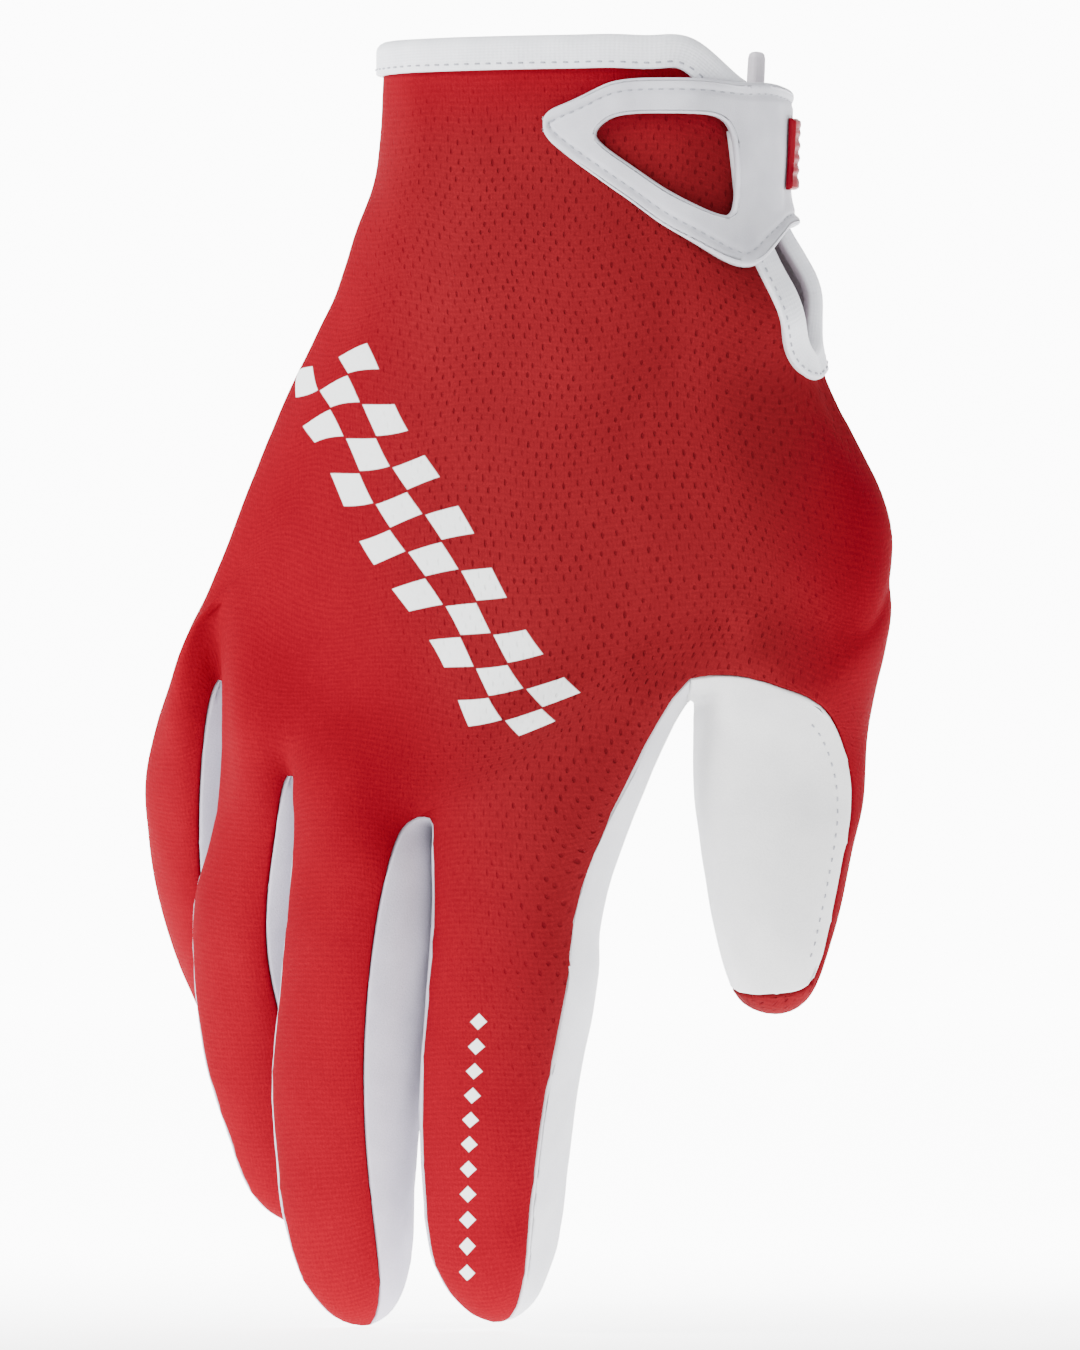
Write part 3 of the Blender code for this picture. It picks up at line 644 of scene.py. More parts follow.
def add_finger(cage, finger, roots, crotches, across, down):
    on_back, thumb_side, on_palm, little_side = FINGERS[finger][3]
    columns = [2 * finger, 2 * finger + 1, 2 * finger + 2, None,
               COLUMNS - 4 - 2 * finger, COLUMNS - 3 - 2 * finger, COLUMNS - 2 - 2 * finger, None]
    ring = [roots[column] if column is not None else crotches[finger + 1] for column in columns]
    ring[7] = crotches[finger]
    downs = [down[column] if column is not None else 0.0 for column in columns]
    downs[3] = down[RADIAL_COLUMN] if finger == len(FINGERS) - 1 else (downs[2] + downs[4]) / 2
    downs[7] = down[ULNAR_COLUMN] if finger == 0 else (downs[6] + downs[0]) / 2
    tags = [on_back, on_back, thumb_side, thumb_side, on_palm, on_palm, little_side, little_side]
    is_thumb = finger == len(FINGERS) - 1
    red_centre = 3 if is_thumb else 1
    red_column = RADIAL_COLUMN if is_thumb else columns[1]
    red_start = across[0][red_column] - cage.points[roots[red_column]].x

    def chart(tag, side):
        if tag == "back_panel":
            return red_centre, red_start
        if tag == "palm_panel":
            return 5, 0.0
        if tag == "thumb_panel":
            return 1, 0.0
        return (3 if side < 5 else 7), 0.0

    root = (cage.points[crotches[finger]] + cage.points[crotches[finger + 1]]) / 2
    sections, tip = finger_sections(finger, root)
    points = [cage.points[v] for v in ring]
    for section in sections:
        lower = [cage.add_point(p) for p in section]
        lower_downs = [length + ((b - a) * UPRIGHT).length for length, a, b in zip(downs, points, section)]
        for k in range(len(ring)):
            beside = (k + 1) % len(ring)
            high = ring_places(points, downs, *chart(tags[k], k))
            low = ring_places(section, lower_downs, *chart(tags[k], k))
            cage.add_face((ring[k], lower[k], lower[beside], ring[beside]), tags[k],
                          (high[k], low[k], low[beside], high[beside]))
        ring, points, downs = lower, section, lower_downs
    centre = cage.add_point(tip)
    last_cap = "back_panel" if is_thumb else little_side
    for first, tag in ((0, "back_panel"), (2, thumb_side), (4, on_palm), (6, last_cap)):
        middle, last = (first + 1) % len(ring), (first + 2) % len(ring)
        start = chart(tag, first)
        places = ring_places(points, downs, *start)
        end = (start[1] + tip.x, downs[middle] + (tip - points[middle]).length)
        cage.add_face((ring[first], centre, ring[last], ring[middle]), tag,
                      (places[first], end, places[last], places[middle]))


def solve_cage(cage):
    """Moves the cage's points until its smooth surface passes through the target points."""
    count = len(cage.points)
    targets = np.array([tuple(p) for p in cage.points])
    edges = edge_users(cage.faces)
    rim = {v for edge, users in edges.items() if len(users) == 1 for v in edge}
    weights = np.zeros((count, count))
    valence = np.zeros(count)
    for (a, b), users in edges.items():
        for here, there in ((a, b), (b, a)):
            valence[here] += 1
            if here not in rim:
                weights[here, there] += 4
            elif len(users) == 1:
                weights[here, there] += 1
    for corners in cage.faces:
        for here, there in zip(corners, corners[2:] + corners[:2]):
            if here not in rim:
                weights[here, there] += 1
    for v in range(count):
        weights[v, v] = 4 if v in rim else valence[v] ** 2
    weights /= weights.sum(axis=1, keepdims=True)
    points = targets.copy()
    for _ in range(SOLVER_ROUNDS):
        points += targets - weights @ points
    cage.points = [Vector(p) for p in points]


class Form:
    """The smooth hand surface at one level of subdivision."""

    def __init__(self, cage, levels):
        mesh = new_mesh("form", cage.points, cage.faces, cage.places)
        names = sorted(set(cage.tags))
        for _ in names:
            mesh.materials.append(None)
        mesh.polygons.foreach_set("material_index", [names.index(tag) for tag in cage.tags])
        self.points, self.normals, self.faces, numbers, self.places = subdivide(
            mesh, levels, use_limit_surface=True)
        self.tags = [names[number] for number in numbers]
        self.tree = BVHTree.FromPolygons(self.points, self.faces)
        self.smooth_points = [p.copy() for p in self.points]
        self.smooth_normals = [n.copy() for n in self.normals]

    def surface(self, place, index):
        """The smooth normal at a place on face number index."""
        corners = self.faces[index]
        weights = poly_3d_calc([self.smooth_points[v] for v in corners], place)
        blend = sum((self.smooth_normals[v] * weight for v, weight in zip(corners, weights)), NOWHERE)
        return blend.normalized()

    def nearest(self, point):
        place, _, index, _ = self.tree.find_nearest(point)
        return place, self.surface(place, index)

    def around(self, turn, depth):
        """The surface point at an angle round the wrist and a depth below the cuff, or straight up from the
        first surface below where the cuff dips."""
        angle = math.radians(turn)
        outward = Vector((math.sin(angle), -math.cos(angle), 0))
        for dip in range(20):
            rise = UP * (dip * MM / 2)
            place, _, index, _ = self.tree.ray_cast(-UP * depth - rise, outward)
            if place:
                break
        return place + rise, self.surface(place, index)


def ordered_edge(form, tag):
    """The points round the faces of one tag, in order, starting at the top of the palm side."""
    chosen = [corners for corners, face_tag in zip(form.faces, form.tags) if face_tag == tag]
    following = dict(border_edges(chosen))
    start = max(following, key=lambda v: (round(form.points[v].z, 5), form.points[v].y))
    path = [start]
    while following[path[-1]] != start:
        path.append(following[path[-1]])
    return path


def cuff_edge(form):
    """The points along the cuff, from the back side of the slit round to its palm side."""
    following = dict(border_edges(form.faces))
    slit = set(ordered_edge(form, "slit"))
    path = [min((v for v in following if v in slit), key=lambda v: form.points[v].y)]
    while len(path) == 1 or path[-1] not in slit:
        path.append(following[path[-1]])
    return path


def strap_lift(turn):
    """How far the strap's inner face stands off the hand form at one angle."""
    turns = [station[0] for station in STRAP_STATIONS]
    lifts = [station[6] for station in STRAP_STATIONS]
    over_binding = SLIT_BINDING_CLOTH + FIT_CLEARANCE
    return FIT_CLEARANCE + over_binding * float(np.interp(turn, turns, lifts))


def border_chains(form):
    """The lines along which two panels meet, the slit's own, and the points that stay where they are."""
    seams, slit, fixed = {}, {}, set()
    for (a, b), users in edge_users(form.faces).items():
        tags = [form.tags[number] for number in users]
        if len(tags) == 1:
            fixed |= {a, b}
        elif tags[0] != tags[1]:
            chain = slit if "slit" in tags else seams
            chain.setdefault(a, []).append(b)
            chain.setdefault(b, []).append(a)
    fixed |= {v for v, others in seams.items() if len(others) != 2 and v not in slit}
    return seams | slit, slit, fixed


def round_slit(points, slit, fixed, form):
    """Smooths the slit's edge once more."""
    middles = {v: (points[ends[0]] + points[ends[-1]]) / 2 for v, ends in slit.items() if v not in fixed}
    for v, middle in middles.items():
        points[v] = form.tree.find_nearest(points[v].lerp(middle, 0.5))[0]


def shift_seams(form, points):
    """Moves the seams of the index finger's back sideways over the surface."""
    tags_at = {}
    for corners, tag in zip(form.faces, form.tags):
        for v in corners:
            tags_at.setdefault(v, set()).add(tag)
    for panel, inner, heights, shifts in SEAM_SHIFTS:
        for v, tags in tags_at.items():
            if tags == {panel, "back_panel"} and points[v].dot(VIEW_RIGHT) > inner:
                step = float(np.interp(points[v].z, heights, shifts)) / SHIFT_STEPS
                for _ in range(SHIFT_STEPS):
                    points[v] = form.tree.find_nearest(points[v] + VIEW_RIGHT * step)[0]


def relax_borders(form):
    """Smooths the seam lines, draws the cloth beside them along, and keeps both on the surface."""
    beside, slit, fixed = border_chains(form)
    around = {}
    for corners in form.faces:
        for a, b in sides(corners):
            around.setdefault(a, set()).add(b)
            around.setdefault(b, set()).add(a)
    moving = set(beside)
    for _ in range(RELAX_REACH):
        moving |= {w for v in moving for w in around[v]}
    points = [p.copy() for p in form.points]
    shift_seams(form, points)
    for _ in range(RELAX_ROUNDS):
        moved = {}
        for v in moving:
            if v in fixed:
                continue
            others = beside.get(v) or around[v]
            middle = sum((points[w] for w in others), NOWHERE) / len(others)
            moved[v] = points[v].lerp(middle, 0.5)
        for v, point in moved.items():
            points[v] = form.tree.find_nearest(point)[0]
        for _ in range(SLIT_ROUNDS):
            round_slit(points, slit, fixed, form)
    surfaces = {v: form.nearest(points[v]) for v in moving if v not in fixed}
    for v, (place, normal) in surfaces.items():
        form.points[v], form.normals[v] = place, normal


def link_mesh(name, points, faces, places, material):
    """A smooth-shaded object with one material."""
    mesh = new_mesh(name, points, faces, places)
    mesh.materials.append(material)
    mesh.shade_smooth()
    piece = bpy.data.objects.new(name, mesh)
    bpy.context.collection.objects.link(piece)
    return piece


def sheet_from(points, faces, places):
    """A bmesh sheet with the places as its cloth layer."""
    mesh = new_mesh("sheet", points, faces, places)
    sheet = bmesh.new()
    sheet.from_mesh(mesh)
    bpy.data.meshes.remove(mesh)
    return sheet


def add_edge_loops(sheet, gap):
    """Draws the border back by a gap and lays loops beside it that will round it."""
    if gap:
        ring = bmesh.ops.inset_region(sheet, faces=sheet.faces[:], thickness=gap,
                                      use_boundary=True, use_even_offset=True)
        bmesh.ops.delete(sheet, geom=ring["faces"], context="FACES")
    for width in EDGE_LOOPS:
        bmesh.ops.inset_region(sheet, faces=sheet.faces[:], thickness=width, use_boundary=True)
    sheet.verts.index_update()
    sheet.verts.ensure_lookup_table()


def edge_tree(edges, points):
    """A search tree of samples along border edges."""
    samples = []
    for a, b in edges:
        samples += [points[a].lerp(points[b], share) for share in (0.0, 0.25, 0.5, 0.75)]
    tree = KDTree(len(samples))
    for k, sample in enumerate(samples):
        tree.insert(sample, k)
    tree.balance()
    return tree


def border_tree(sheet):
    """The search tree of a sheet's border."""
    edges = [(e.verts[0].index, e.verts[1].index) for e in sheet.edges if e.is_boundary]
    return edge_tree(edges, [v.co.copy() for v in sheet.verts])


def roll(distance):
    """How deep a rounded edge lies at a distance from its border."""
    if distance >= EDGE_ROLL:
        return 0.0
    return EDGE_ROLL - math.sqrt(EDGE_ROLL ** 2 - (EDGE_ROLL - distance) ** 2)


def crease_depth(point, normal):
    depth = 0.0
    for side, x0, z0, x1, z1, deep, width in CREASES:
        if normal.y * side < 0:
            continue
        start, end = Vector((x0, z0)), Vector((x1, z1))
        spot, line = Vector((point.x, point.z)) - start, end - start
        share = min(1.0, max(0.0, spot.dot(line) / line.length_squared))
        away = (spot - line * share).length / width
        depth += deep * (math.exp(-away ** 2) - 0.35 * math.exp(-(away - 1.8) ** 2))
    return depth


def waves(point):
    """Slow unevenness of worn cloth."""
    return sum(height * noise.noise(point * rate) for height, rate in WAVES)


def shell(name, sheet, surface, cloth, material, relief):
    """A closed wall under a sheet: relief gives the height of its outer face over the sheet."""
    layer = sheet.loops.layers.uv["cloth"]
    faces = [tuple(loop.vert.index for loop in face.loops) for face in sheet.faces]
    places = [[tuple(loop[layer].uv) for loop in face.loops] for face in sheet.faces]
    points = [v.co.copy() for v in sheet.verts]
    sheet.free()
    outer, inner = [], []
    for point in points:
        place, normal = surface(point)
        height, sag = relief(place, normal, point)
        outer.append(place + normal * height)
        inner.append(place - normal * (cloth - sag))
    count = len(points)
    solid = faces + [tuple(count + v for v in reversed(corners)) for corners in faces]
    solid_places = places + [list(reversed(face)) for face in places]
    corner_of = {v: place for corners, face in zip(faces, places) for v, place in zip(corners, face)}
    for a, b in border_edges(faces):
        solid.append((b, a, a + count, b + count))
        solid_places.append([corner_of[b], corner_of[a], corner_of[a], corner_of[b]])
    piece = link_mesh(name, outer + inner, solid, solid_places, material)
    # Inner faces are marked for the lining's colour with painted shade
    store(piece, "lining_shade", [0.0] * count + [1.0] * count)
    return piece


def build_panel(name, form, cloth, material):
    chosen = [k for k, tag in enumerate(form.tags) if tag == name]
    used = sorted({v for k in chosen for v in form.faces[k]})
    number = {v: k for k, v in enumerate(used)}
    faces = [tuple(number[v] for v in form.faces[k]) for k in chosen]
    sheet = sheet_from([form.points[v] for v in used], faces, [form.places[k] for k in chosen])
    add_edge_loops(sheet, SEAM_GAP / 2)
    tree = border_tree(sheet)

    def relief(place, normal, point):
        distance = tree.find(point)[2]
        fade = math.exp(-(distance / PUCKER_REACH) ** 2)
        puckers = PUCKER_HEIGHT * fade * noise.noise(place * PUCKER_RATE)
        soft = waves(place) - crease_depth(place, normal)
        return soft + puckers - roll(distance), soft

    return shell(name, sheet, form.nearest, cloth, material, relief)


def binding_frames(path, form):
    """Places, normals and off-edge directions along a path."""
    points = [form.points[v] for v in path]
    last = len(path) - 1
    frames = []
    for k, v in enumerate(path):
        reach = min(FRAME_REACH, max(1, k), max(1, last - k))
        along = (points[min(k + reach, last)] - points[max(k - reach, 0)]).normalized()
        frames.append((points[k], form.normals[v], along.cross(form.normals[v]).normalized()))
    return frames


def binding_profile(width, cloth):
    """The section of a folded strip, as distances below the edge and above the cloth's outer face."""
    top = FIT_CLEARANCE + cloth
    under = -BACK_CLOTH - FIT_CLEARANCE
    bottom = under - cloth
    middle, half = (top + bottom) / 2, (top - bottom) / 2
    profile = [(width, FIT_CLEARANCE), (width, top - 0.35 * cloth),
               (width - 0.12 * cloth, top - 0.12 * cloth)]
    for share in (0.95, 0.88, 0.80, 0.70, 0.60, 0.50, 0.40, 0.30, 0.20, 0.10, 0.0):
        profile.append((width * share, top))
    for angle in (20, 45, 70, 90, 110, 135, 160):
        turn = math.radians(angle)
        profile.append((-0.8 * half * math.sin(turn), middle + half * math.cos(turn)))
    for share in (0.0, 0.25, 0.5, 0.75, 0.95):
        profile.append((width * share, bottom))
    profile += [(width, bottom + 0.3 * cloth), (width, middle)]
    return profile


def build_binding(name, path, form, width, cloth, material):
    """A strip folded over the cloth's edge along a path."""
    profile = binding_profile(width, cloth)
    sections = []
    for place, normal, off_edge in binding_frames(path, form):
        section = []
        for below, height in profile:
            if below > 0:
                spot, n = form.nearest(place - off_edge * below)
            else:
                spot, n = place - off_edge * below, normal
            swell = 0.0001 * noise.noise(spot * 260) if height > 0 or below <= 0 else 0.0
            section.append(spot + n * (height + swell + waves(place)))
        sections.append(section)
    piece = link_sweep(name, sections, material)
    # The inner leg is marked for painted shade
    inside = [1.0 if height < -BACK_CLOTH else 0.0 for _, height in profile]
    store(piece, "lining_shade", inside * len(sections))
    return piece


def link_sweep(name, sections, material):
    """A closed solid through a row of sections."""
    size = len(sections[0])
    points = [p for section in sections for p in section]
    alongs = signed_arcs([section[size // 3] for section in sections], 0)
    arounds = signed_arcs(sections[0] + sections[0][:1], 0)
    faces, places = [], []
    for k in range(len(sections) - 1):
        for j in range(size):
            beside = (j + 1) % size
            faces.append((k * size + j, k * size + beside, (k + 1) * size + beside, (k + 1) * size + j))
            places.append([(alongs[k], arounds[j]), (alongs[k], arounds[j + 1]),
                           (alongs[k + 1], arounds[j + 1]), (alongs[k + 1], arounds[j])])
    first, last = tuple(reversed(range(size))), tuple(range((len(sections) - 1) * size, len(sections) * size))
    for cap, along in ((first, alongs[0]), (last, alongs[-1])):
        faces.append(cap)
        places.append([(along, arounds[v % size]) for v in cap])
    return link_mesh(name, points, faces, places, material)


def flat_places(points, faces):
    """The cloth places of faces that lie flat."""
    return [[(points[v][0], points[v][2]) for v in corners] for corners in faces]


def strap_sheet():
    """The flat strap: its smooth outline with the window."""
    points, faces = [], []
    for k, (turn, top, window_top, window_bottom, bottom, is_open, _) in enumerate(STRAP_STATIONS):
        bulges = WINDOW_BULGES.get(turn, (0.0, 0.0))
        heights = (top, window_top, window_bottom, bottom)
        for share, bulge in zip(heights, (0.0, *bulges, 0.0)):
            points.append(((turn + bulge) * STRAP_SCALE, 0, share * STRAP_DEPTH))
        if k == len(STRAP_STATIONS) - 1:
            break
        for j in range(3):
            if j == 1 and is_open:
                continue
            corner = 4 * k + j
            faces.append((corner, corner + 1, corner + 5, corner + 4))
    mesh = new_mesh("strap", points, faces)
    users = edge_users(faces)
    window = {1, 2}
    creases = mesh.attributes.new("crease_edge", "FLOAT", "EDGE")
    for edge, crease in zip(mesh.edges, creases.data):
        a, b = sorted(edge.vertices)
        if len(users[(a, b)]) == 1:
            inside = a % 4 in window and b % 4 in window and 0 < a and b < len(points) - 4
            crease.value = WINDOW_CREASE if inside else OUTLINE_CREASE
    flat, _, fine_faces, _, _ = subdivide(mesh, STRAP_LEVELS, boundary_smooth="PRESERVE_CORNERS")
    return sheet_from(flat, fine_faces, flat_places(flat, fine_faces))


def border_loops(edges):
    """Border edges joined into closed loops, the longest first."""
    following = dict(edges)
    loops = []
    while following:
        start = next(iter(following))
        loop = [start]
        while following.get(loop[-1]) not in (None, start):
            loop.append(following.pop(loop[-1]))
        following.pop(loop[-1], None)
        loops.append(loop)
    return sorted(loops, key=len, reverse=True)


def strap_surface(form):
    """Gives places and normals on the strap's inner face for points of the flat drawing."""
    def surface(point):
        turn = point.x / STRAP_SCALE
        place, normal = form.around(turn, point.z)
        return place + normal * strap_lift(turn), normal
    return surface


def build_strap(form, material):
    """The strap, and its outline in the flat drawing."""
    sheet = strap_sheet()
    add_edge_loops(sheet, 0.0)
    points = [v.co.copy() for v in sheet.verts]
    faces = [tuple(v.index for v in face.verts) for face in sheet.faces]
    loops = border_loops(border_edges(faces))
    trees = [edge_tree(list(zip(loop, loop[1:] + loop[:1])), points) for loop in loops]
    surface = strap_surface(form)

    def relief(_, __, point):
        distances = [tree.find(point)[2] for tree in trees]
        groove = GROOVE_DEPTH * math.exp(-((distances[0] - GROOVE_INSET) / GROOVE_WIDTH) ** 2)
        rim = RIM_HEIGHT * math.exp(-((distances[0] - RIM_INSET) / RIM_WIDTH) ** 2)
        return STRAP_CLOTH + rim - groove - roll(min(distances)), 0.0

    strap = shell("closure_strap", sheet, surface, 0.0, material, relief)
    outline = [points[v] for v in loops[0]]
    return strap, outline


def stitch(points, faces, places, start, end, normal, reach):
    """One thread loop from hole to hole, arched over the cloth."""
    along = end - start
    side = along.cross(normal).normalized()
    first = len(points)
    shares = (0.0, 0.12, 0.35, 0.65, 0.88, 1.0)
    for share in shares:
        lift = THREAD_RADIUS * (4 * share * (1 - share)) ** 0.5 * 1.3 - THREAD_RADIUS * 0.9
        centre = start + along * share + normal * lift
        radius = THREAD_RADIUS * (0.35 if share in (0.0, 1.0) else 1.0)
        for k in range(THREAD_SIDES):
            turn = 2 * math.pi * k / THREAD_SIDES
            points.append(centre + side * (radius * math.cos(turn)) + normal * (radius * math.sin(turn)))
    for k in range(len(shares) - 1):
        for j in range(THREAD_SIDES):
            a, b = first + k * THREAD_SIDES + j, first + k * THREAD_SIDES + (j + 1) % THREAD_SIDES
            faces.append((a, b, b + THREAD_SIDES, a + THREAD_SIDES))
            low, high = reach + shares[k] * along.length, reach + shares[k + 1] * along.length
            width = j / THREAD_SIDES * MM
            places.append([(width, low), (width, low), (width, high), (width, high)])


def stitch_row(name, line, material, pitch, share, closed):
    """Stitches of one length along a line of (place, normal), back to its start where it is closed."""
    points, faces, places = [], [], []
    stations = line + line[:1] if closed else line
    arcs = signed_arcs([place for place, _ in stations], 0)
    count = int(arcs[-1] / pitch)
    step = arcs[-1] / count

    def at(length):
        k = min(int(np.searchsorted(arcs, length, side="right")) - 1, len(stations) - 2)
        mix = (length - arcs[k]) / max(arcs[k + 1] - arcs[k], 1e-9)
        place = stations[k][0].lerp(stations[k + 1][0], mix)
        return place, stations[k][1].lerp(stations[k + 1][1], mix).normalized()

    for k in range(count):
        begin, begin_normal = at(k * step)
        end, _ = at((k + share) * step)
        stitch(points, faces, places, begin, end, begin_normal, k * step)
    return link_mesh(name, points, faces, places, material)


def operation(kind):
    """A method of Value that adds one math node."""
    return lambda value, *others: value.shader.math(kind, value, *others)


class Value:
    """An output of a node, which plain arithmetic works on."""

    def __init__(self, shader, socket):
        self.shader = shader
        self.socket = socket

    __add__ = operation("ADD")
    __sub__ = operation("SUBTRACT")
    __mul__ = operation("MULTIPLY")
    __truediv__ = operation("DIVIDE")
    __mod__ = operation("FLOORED_MODULO")
    __abs__ = operation("ABSOLUTE")
    floor = operation("FLOOR")
    fract = operation("FRACT")
    sine = operation("SINE")
    root = operation("SQRT")

    def __rsub__(self, other):
        return self.shader.math("SUBTRACT", other, self)

    def wave(self, length):
        """A sine of this length."""
        return (self * (2 * math.pi / length)).sine()


class Shader:
    """Builds one node material."""

    def __init__(self, name, **settings):
        self.material = bpy.data.materials.new(name)
        self.material.use_nodes = True
        self.tree = self.material.node_tree
        self.surface = self.tree.nodes["Principled BSDF"]
        for key, value in settings.items():
            self.surface.inputs[key.replace("_", " ")].default_value = value

    def put(self, socket, value):
        if isinstance(value, Value):
            self.tree.links.new(value.socket, socket)
        else:
            socket.default_value = value

    def nodes(self, kind, inputs, **settings):
        """The outputs of a new node."""
        node = self.tree.nodes.new(kind)
        for key, value in settings.items():
            setattr(node, key, value)
        for key, value in inputs.items():
            self.put(node.inputs[key], value)
        return node.outputs

    def node(self, kind, output, inputs, **settings):
        return Value(self, self.nodes(kind, inputs, **settings)[output])

    def math(self, kind, *values):
        return self.node("ShaderNodeMath", 0, dict(enumerate(values)), operation=kind)

    def smooth(self, value, low, high):
        """Goes smoothly from 0 at low to 1 at high."""
        return self.node("ShaderNodeMapRange", "Result", {"Value": value, "From Min": low, "From Max": high},
                         interpolation_type="SMOOTHSTEP")

    def span(self, value, low, high, soft):
        """1 from low to high, with soft ends."""
        return self.smooth(value, low - soft, low + soft) * self.smooth(value, high + soft, high - soft)

    def mix(self, factor, *colors):
        """The first color where factor is 0 and the second where it is 1."""
        first, second = (color if isinstance(color, Value) else (*color, 1.0) for color in colors)
        return self.node("ShaderNodeMix", 2, {0: factor, 6: first, 7: second}, data_type="RGBA")

    def axes(self, vector):
        """The x, y and z of a vector."""
        return [Value(self, output) for output in self.nodes("ShaderNodeSeparateXYZ", {0: vector})]

    def cloth(self):
        """The place on the flat cloth, in millimetres."""
        u, v, _ = self.axes(self.node("ShaderNodeUVMap", "UV", {}, uv_map="cloth"))
        return u / MM, v / MM

    def place(self):
        """The place in space, in millimetres."""
        spot = self.node("ShaderNodeTexCoord", "Object", {})
        return self.node("ShaderNodeVectorMath", 0, {0: spot, 1: (1 / MM,) * 3}, operation="MULTIPLY")

    def noise(self, place, size, detail=2.0, roughness=0.5):
        """Soft spots of this size in millimetres."""
        return self.node("ShaderNodeTexNoise", "Fac", {"Vector": place, "Scale": 1.0 / size, "Detail": detail,
                                                      "Roughness": roughness})

    def chance(self, x, y):
        """A number from 0 to 1 for each pair of whole numbers."""
        pair = self.node("ShaderNodeCombineXYZ", 0, {0: x, 1: y})
        return self.node("ShaderNodeTexWhiteNoise", "Value", {"Vector": pair}, noise_dimensions="2D")

    def stored(self, name):
        """The numbers stored under a name at the piece's points."""
        return self.node("ShaderNodeAttribute", "Fac", {}, attribute_name=name)

    def finish(self, color, roughness, height=None, depth=0.0):
        """Sets what the surface shows, with a relief of a height over a depth in metres."""
        self.put(self.surface.inputs["Base Color"], color)
        self.put(self.surface.inputs["Roughness"], roughness)
        if height:
            normal = self.node("ShaderNodeBump", "Normal",
                               {"Height": height, "Distance": depth, "Strength": 1.0})
            self.put(self.surface.inputs["Normal"], normal)
        return self.material


def print_mask(shader, u, v):
    """The white print: slanted chequers over the back and a row of lozenges down the index finger."""
    turn = math.radians(PRINT_TURN)
    du, dv = u - PRINT_START[0], v - PRINT_START[1]
    along = du * math.sin(turn) + dv * math.cos(turn)
    across = du * math.cos(turn) - dv * math.sin(turn)
    row = (along + across * PRINT_SLANT) / CHEQUER_PITCH
    column = across / CHEQUER_BREADTH + CHEQUER_COLUMNS / 2
    chosen = shader.math("LESS_THAN", (row.floor() + column.floor()) % 2.0, 0.5)
    block = shader.span(row.fract(), 0.04, 0.96, 0.02) * shader.span(column.fract(), 0.03, 0.97, 0.02)
    field = shader.span(row, 0.0, CHEQUER_ROWS, 0.01) * shader.span(column, 0.0, CHEQUER_COLUMNS, 0.01)
    below = v - LADDER_START[1]
    beside = u - LADDER_START[0] - below * LADDER_LEAN
    step = (below / LADDER_PITCH).fract() - 0.5
    lozenge = abs(beside / LADDER_HALF) + abs(step * (LADDER_PITCH / LADDER_HALF))
    ladder = shader.smooth(lozenge, 1.08, 0.92) * shader.span(below, 0.0, LADDER_PITCH * LADDER_COUNT, 0.01)
    return shader.math("MAXIMUM", chosen * block * field, ladder)


def red_mesh_material():
    """Ribbed stretch knit with loose rows of dimples where it is open, and the print on it. Painted shade
    darkens the dimples and the print in them, and the open knit's colour holds painted sheen.
    """
    shader = Shader("red_mesh", Specular_IOR_Level=0.02)
    u, v = shader.cloth()
    place = shader.place()
    row = v / DIMPLE_ROWS + shader.noise(place, 5.0, 1.0) * 0.9
    column = u / DIMPLE_PITCH + row.floor() % 2.0 * 0.5
    luck = shader.chance(column.floor(), row.floor())
    shift = shader.chance(row.floor(), column.floor())
    x = (column.fract() - (shift * 0.30 + 0.35)) * (DIMPLE_PITCH / DIMPLE_BREADTH)
    y = (row.fract() - (luck * 0.24 + 0.38)) * (DIMPLE_ROWS / DIMPLE_HEIGHT)
    openness = shader.stored("open_knit")
    dimple = shader.smooth((x * x + y * y).root(), 1.5, 0.5) * (openness * (luck * 0.65 + 0.35))
    knit = v.wave(0.95) * 0.30 + u.wave(0.62) * 0.16
    grain = shader.noise(place, 0.45, 3.0, 0.6)
    tone = grain * 0.45 + shader.noise(place, 14.0) * 0.15 - openness * 0.12 + knit * 0.14
    light = shader.smooth(tone, 0.05, 0.75)
    # The open knit's greyer red is painted sheen
    color = shader.mix(openness, shader.mix(light, *CLOSED_KNIT), shader.mix(light, *OPEN_KNIT_AND_SHEEN))
    # Painted shade darkens the dimples
    color = shader.mix(dimple * 0.50, color, DIMPLE_PAINTED_SHADE)
    mask = print_mask(shader, u, v)
    worn = shader.noise(place, 0.5) * 0.10 + 0.90
    # The print greys with painted shade in the dimples
    color = shader.mix(mask * worn, color, shader.mix(dimple * 0.35, PRINT_WHITE, PRINT_DIMPLE_SHADE))
    height = (knit * 0.10 + grain * 0.35 - dimple) * (1.0 - mask * 0.55) + mask * 0.30
    return shader.finish(color, 0.86 - mask * 0.34, height, 0.00030)


def suede_material(name, light, dark):
    """Napped suede with soft patches."""
    shader = Shader(name, Sheen_Weight=0.12, Sheen_Roughness=0.6, Specular_IOR_Level=0.25)
    place = shader.place()
    nap = shader.noise(place, 0.35, 4.0, 0.65)
    tone = nap * 0.5 + shader.noise(place, 9.0) * 0.5
    color = shader.mix(shader.smooth(tone, 0.3, 0.7), dark, light)
    # Inner faces take the lining's colour, darkened with painted shade
    return shader.finish(shader.mix(shader.stored("lining_shade"), color, SUEDE_LINING_AND_SHADE), 0.88, nap, 0.00012)


def elastic_material():
    """Woven elastic with fine ribs and rows."""
    shader = Shader("white_elastic", Sheen_Weight=0.15, Sheen_Roughness=0.5, Specular_IOR_Level=0.35)
    u, v = shader.cloth()
    place = shader.place()
    height = u.wave(0.85) * 0.12 + v.wave(0.55) * 0.10 + shader.noise(place, 0.3, 3.0, 0.6) * 0.4
    tone = height * 0.25 + shader.noise(place, 6.0) * 0.6
    color = shader.mix(shader.smooth(tone, 0.1, 0.6), (0.68, 0.69, 0.74), (0.82, 0.83, 0.87))
    # Painted shade darkens the bindings' inner leg and the loop
    return shader.finish(shader.mix(shader.stored("lining_shade"), color, ELASTIC_INSIDE_SHADE), 0.74, height, 0.00010)


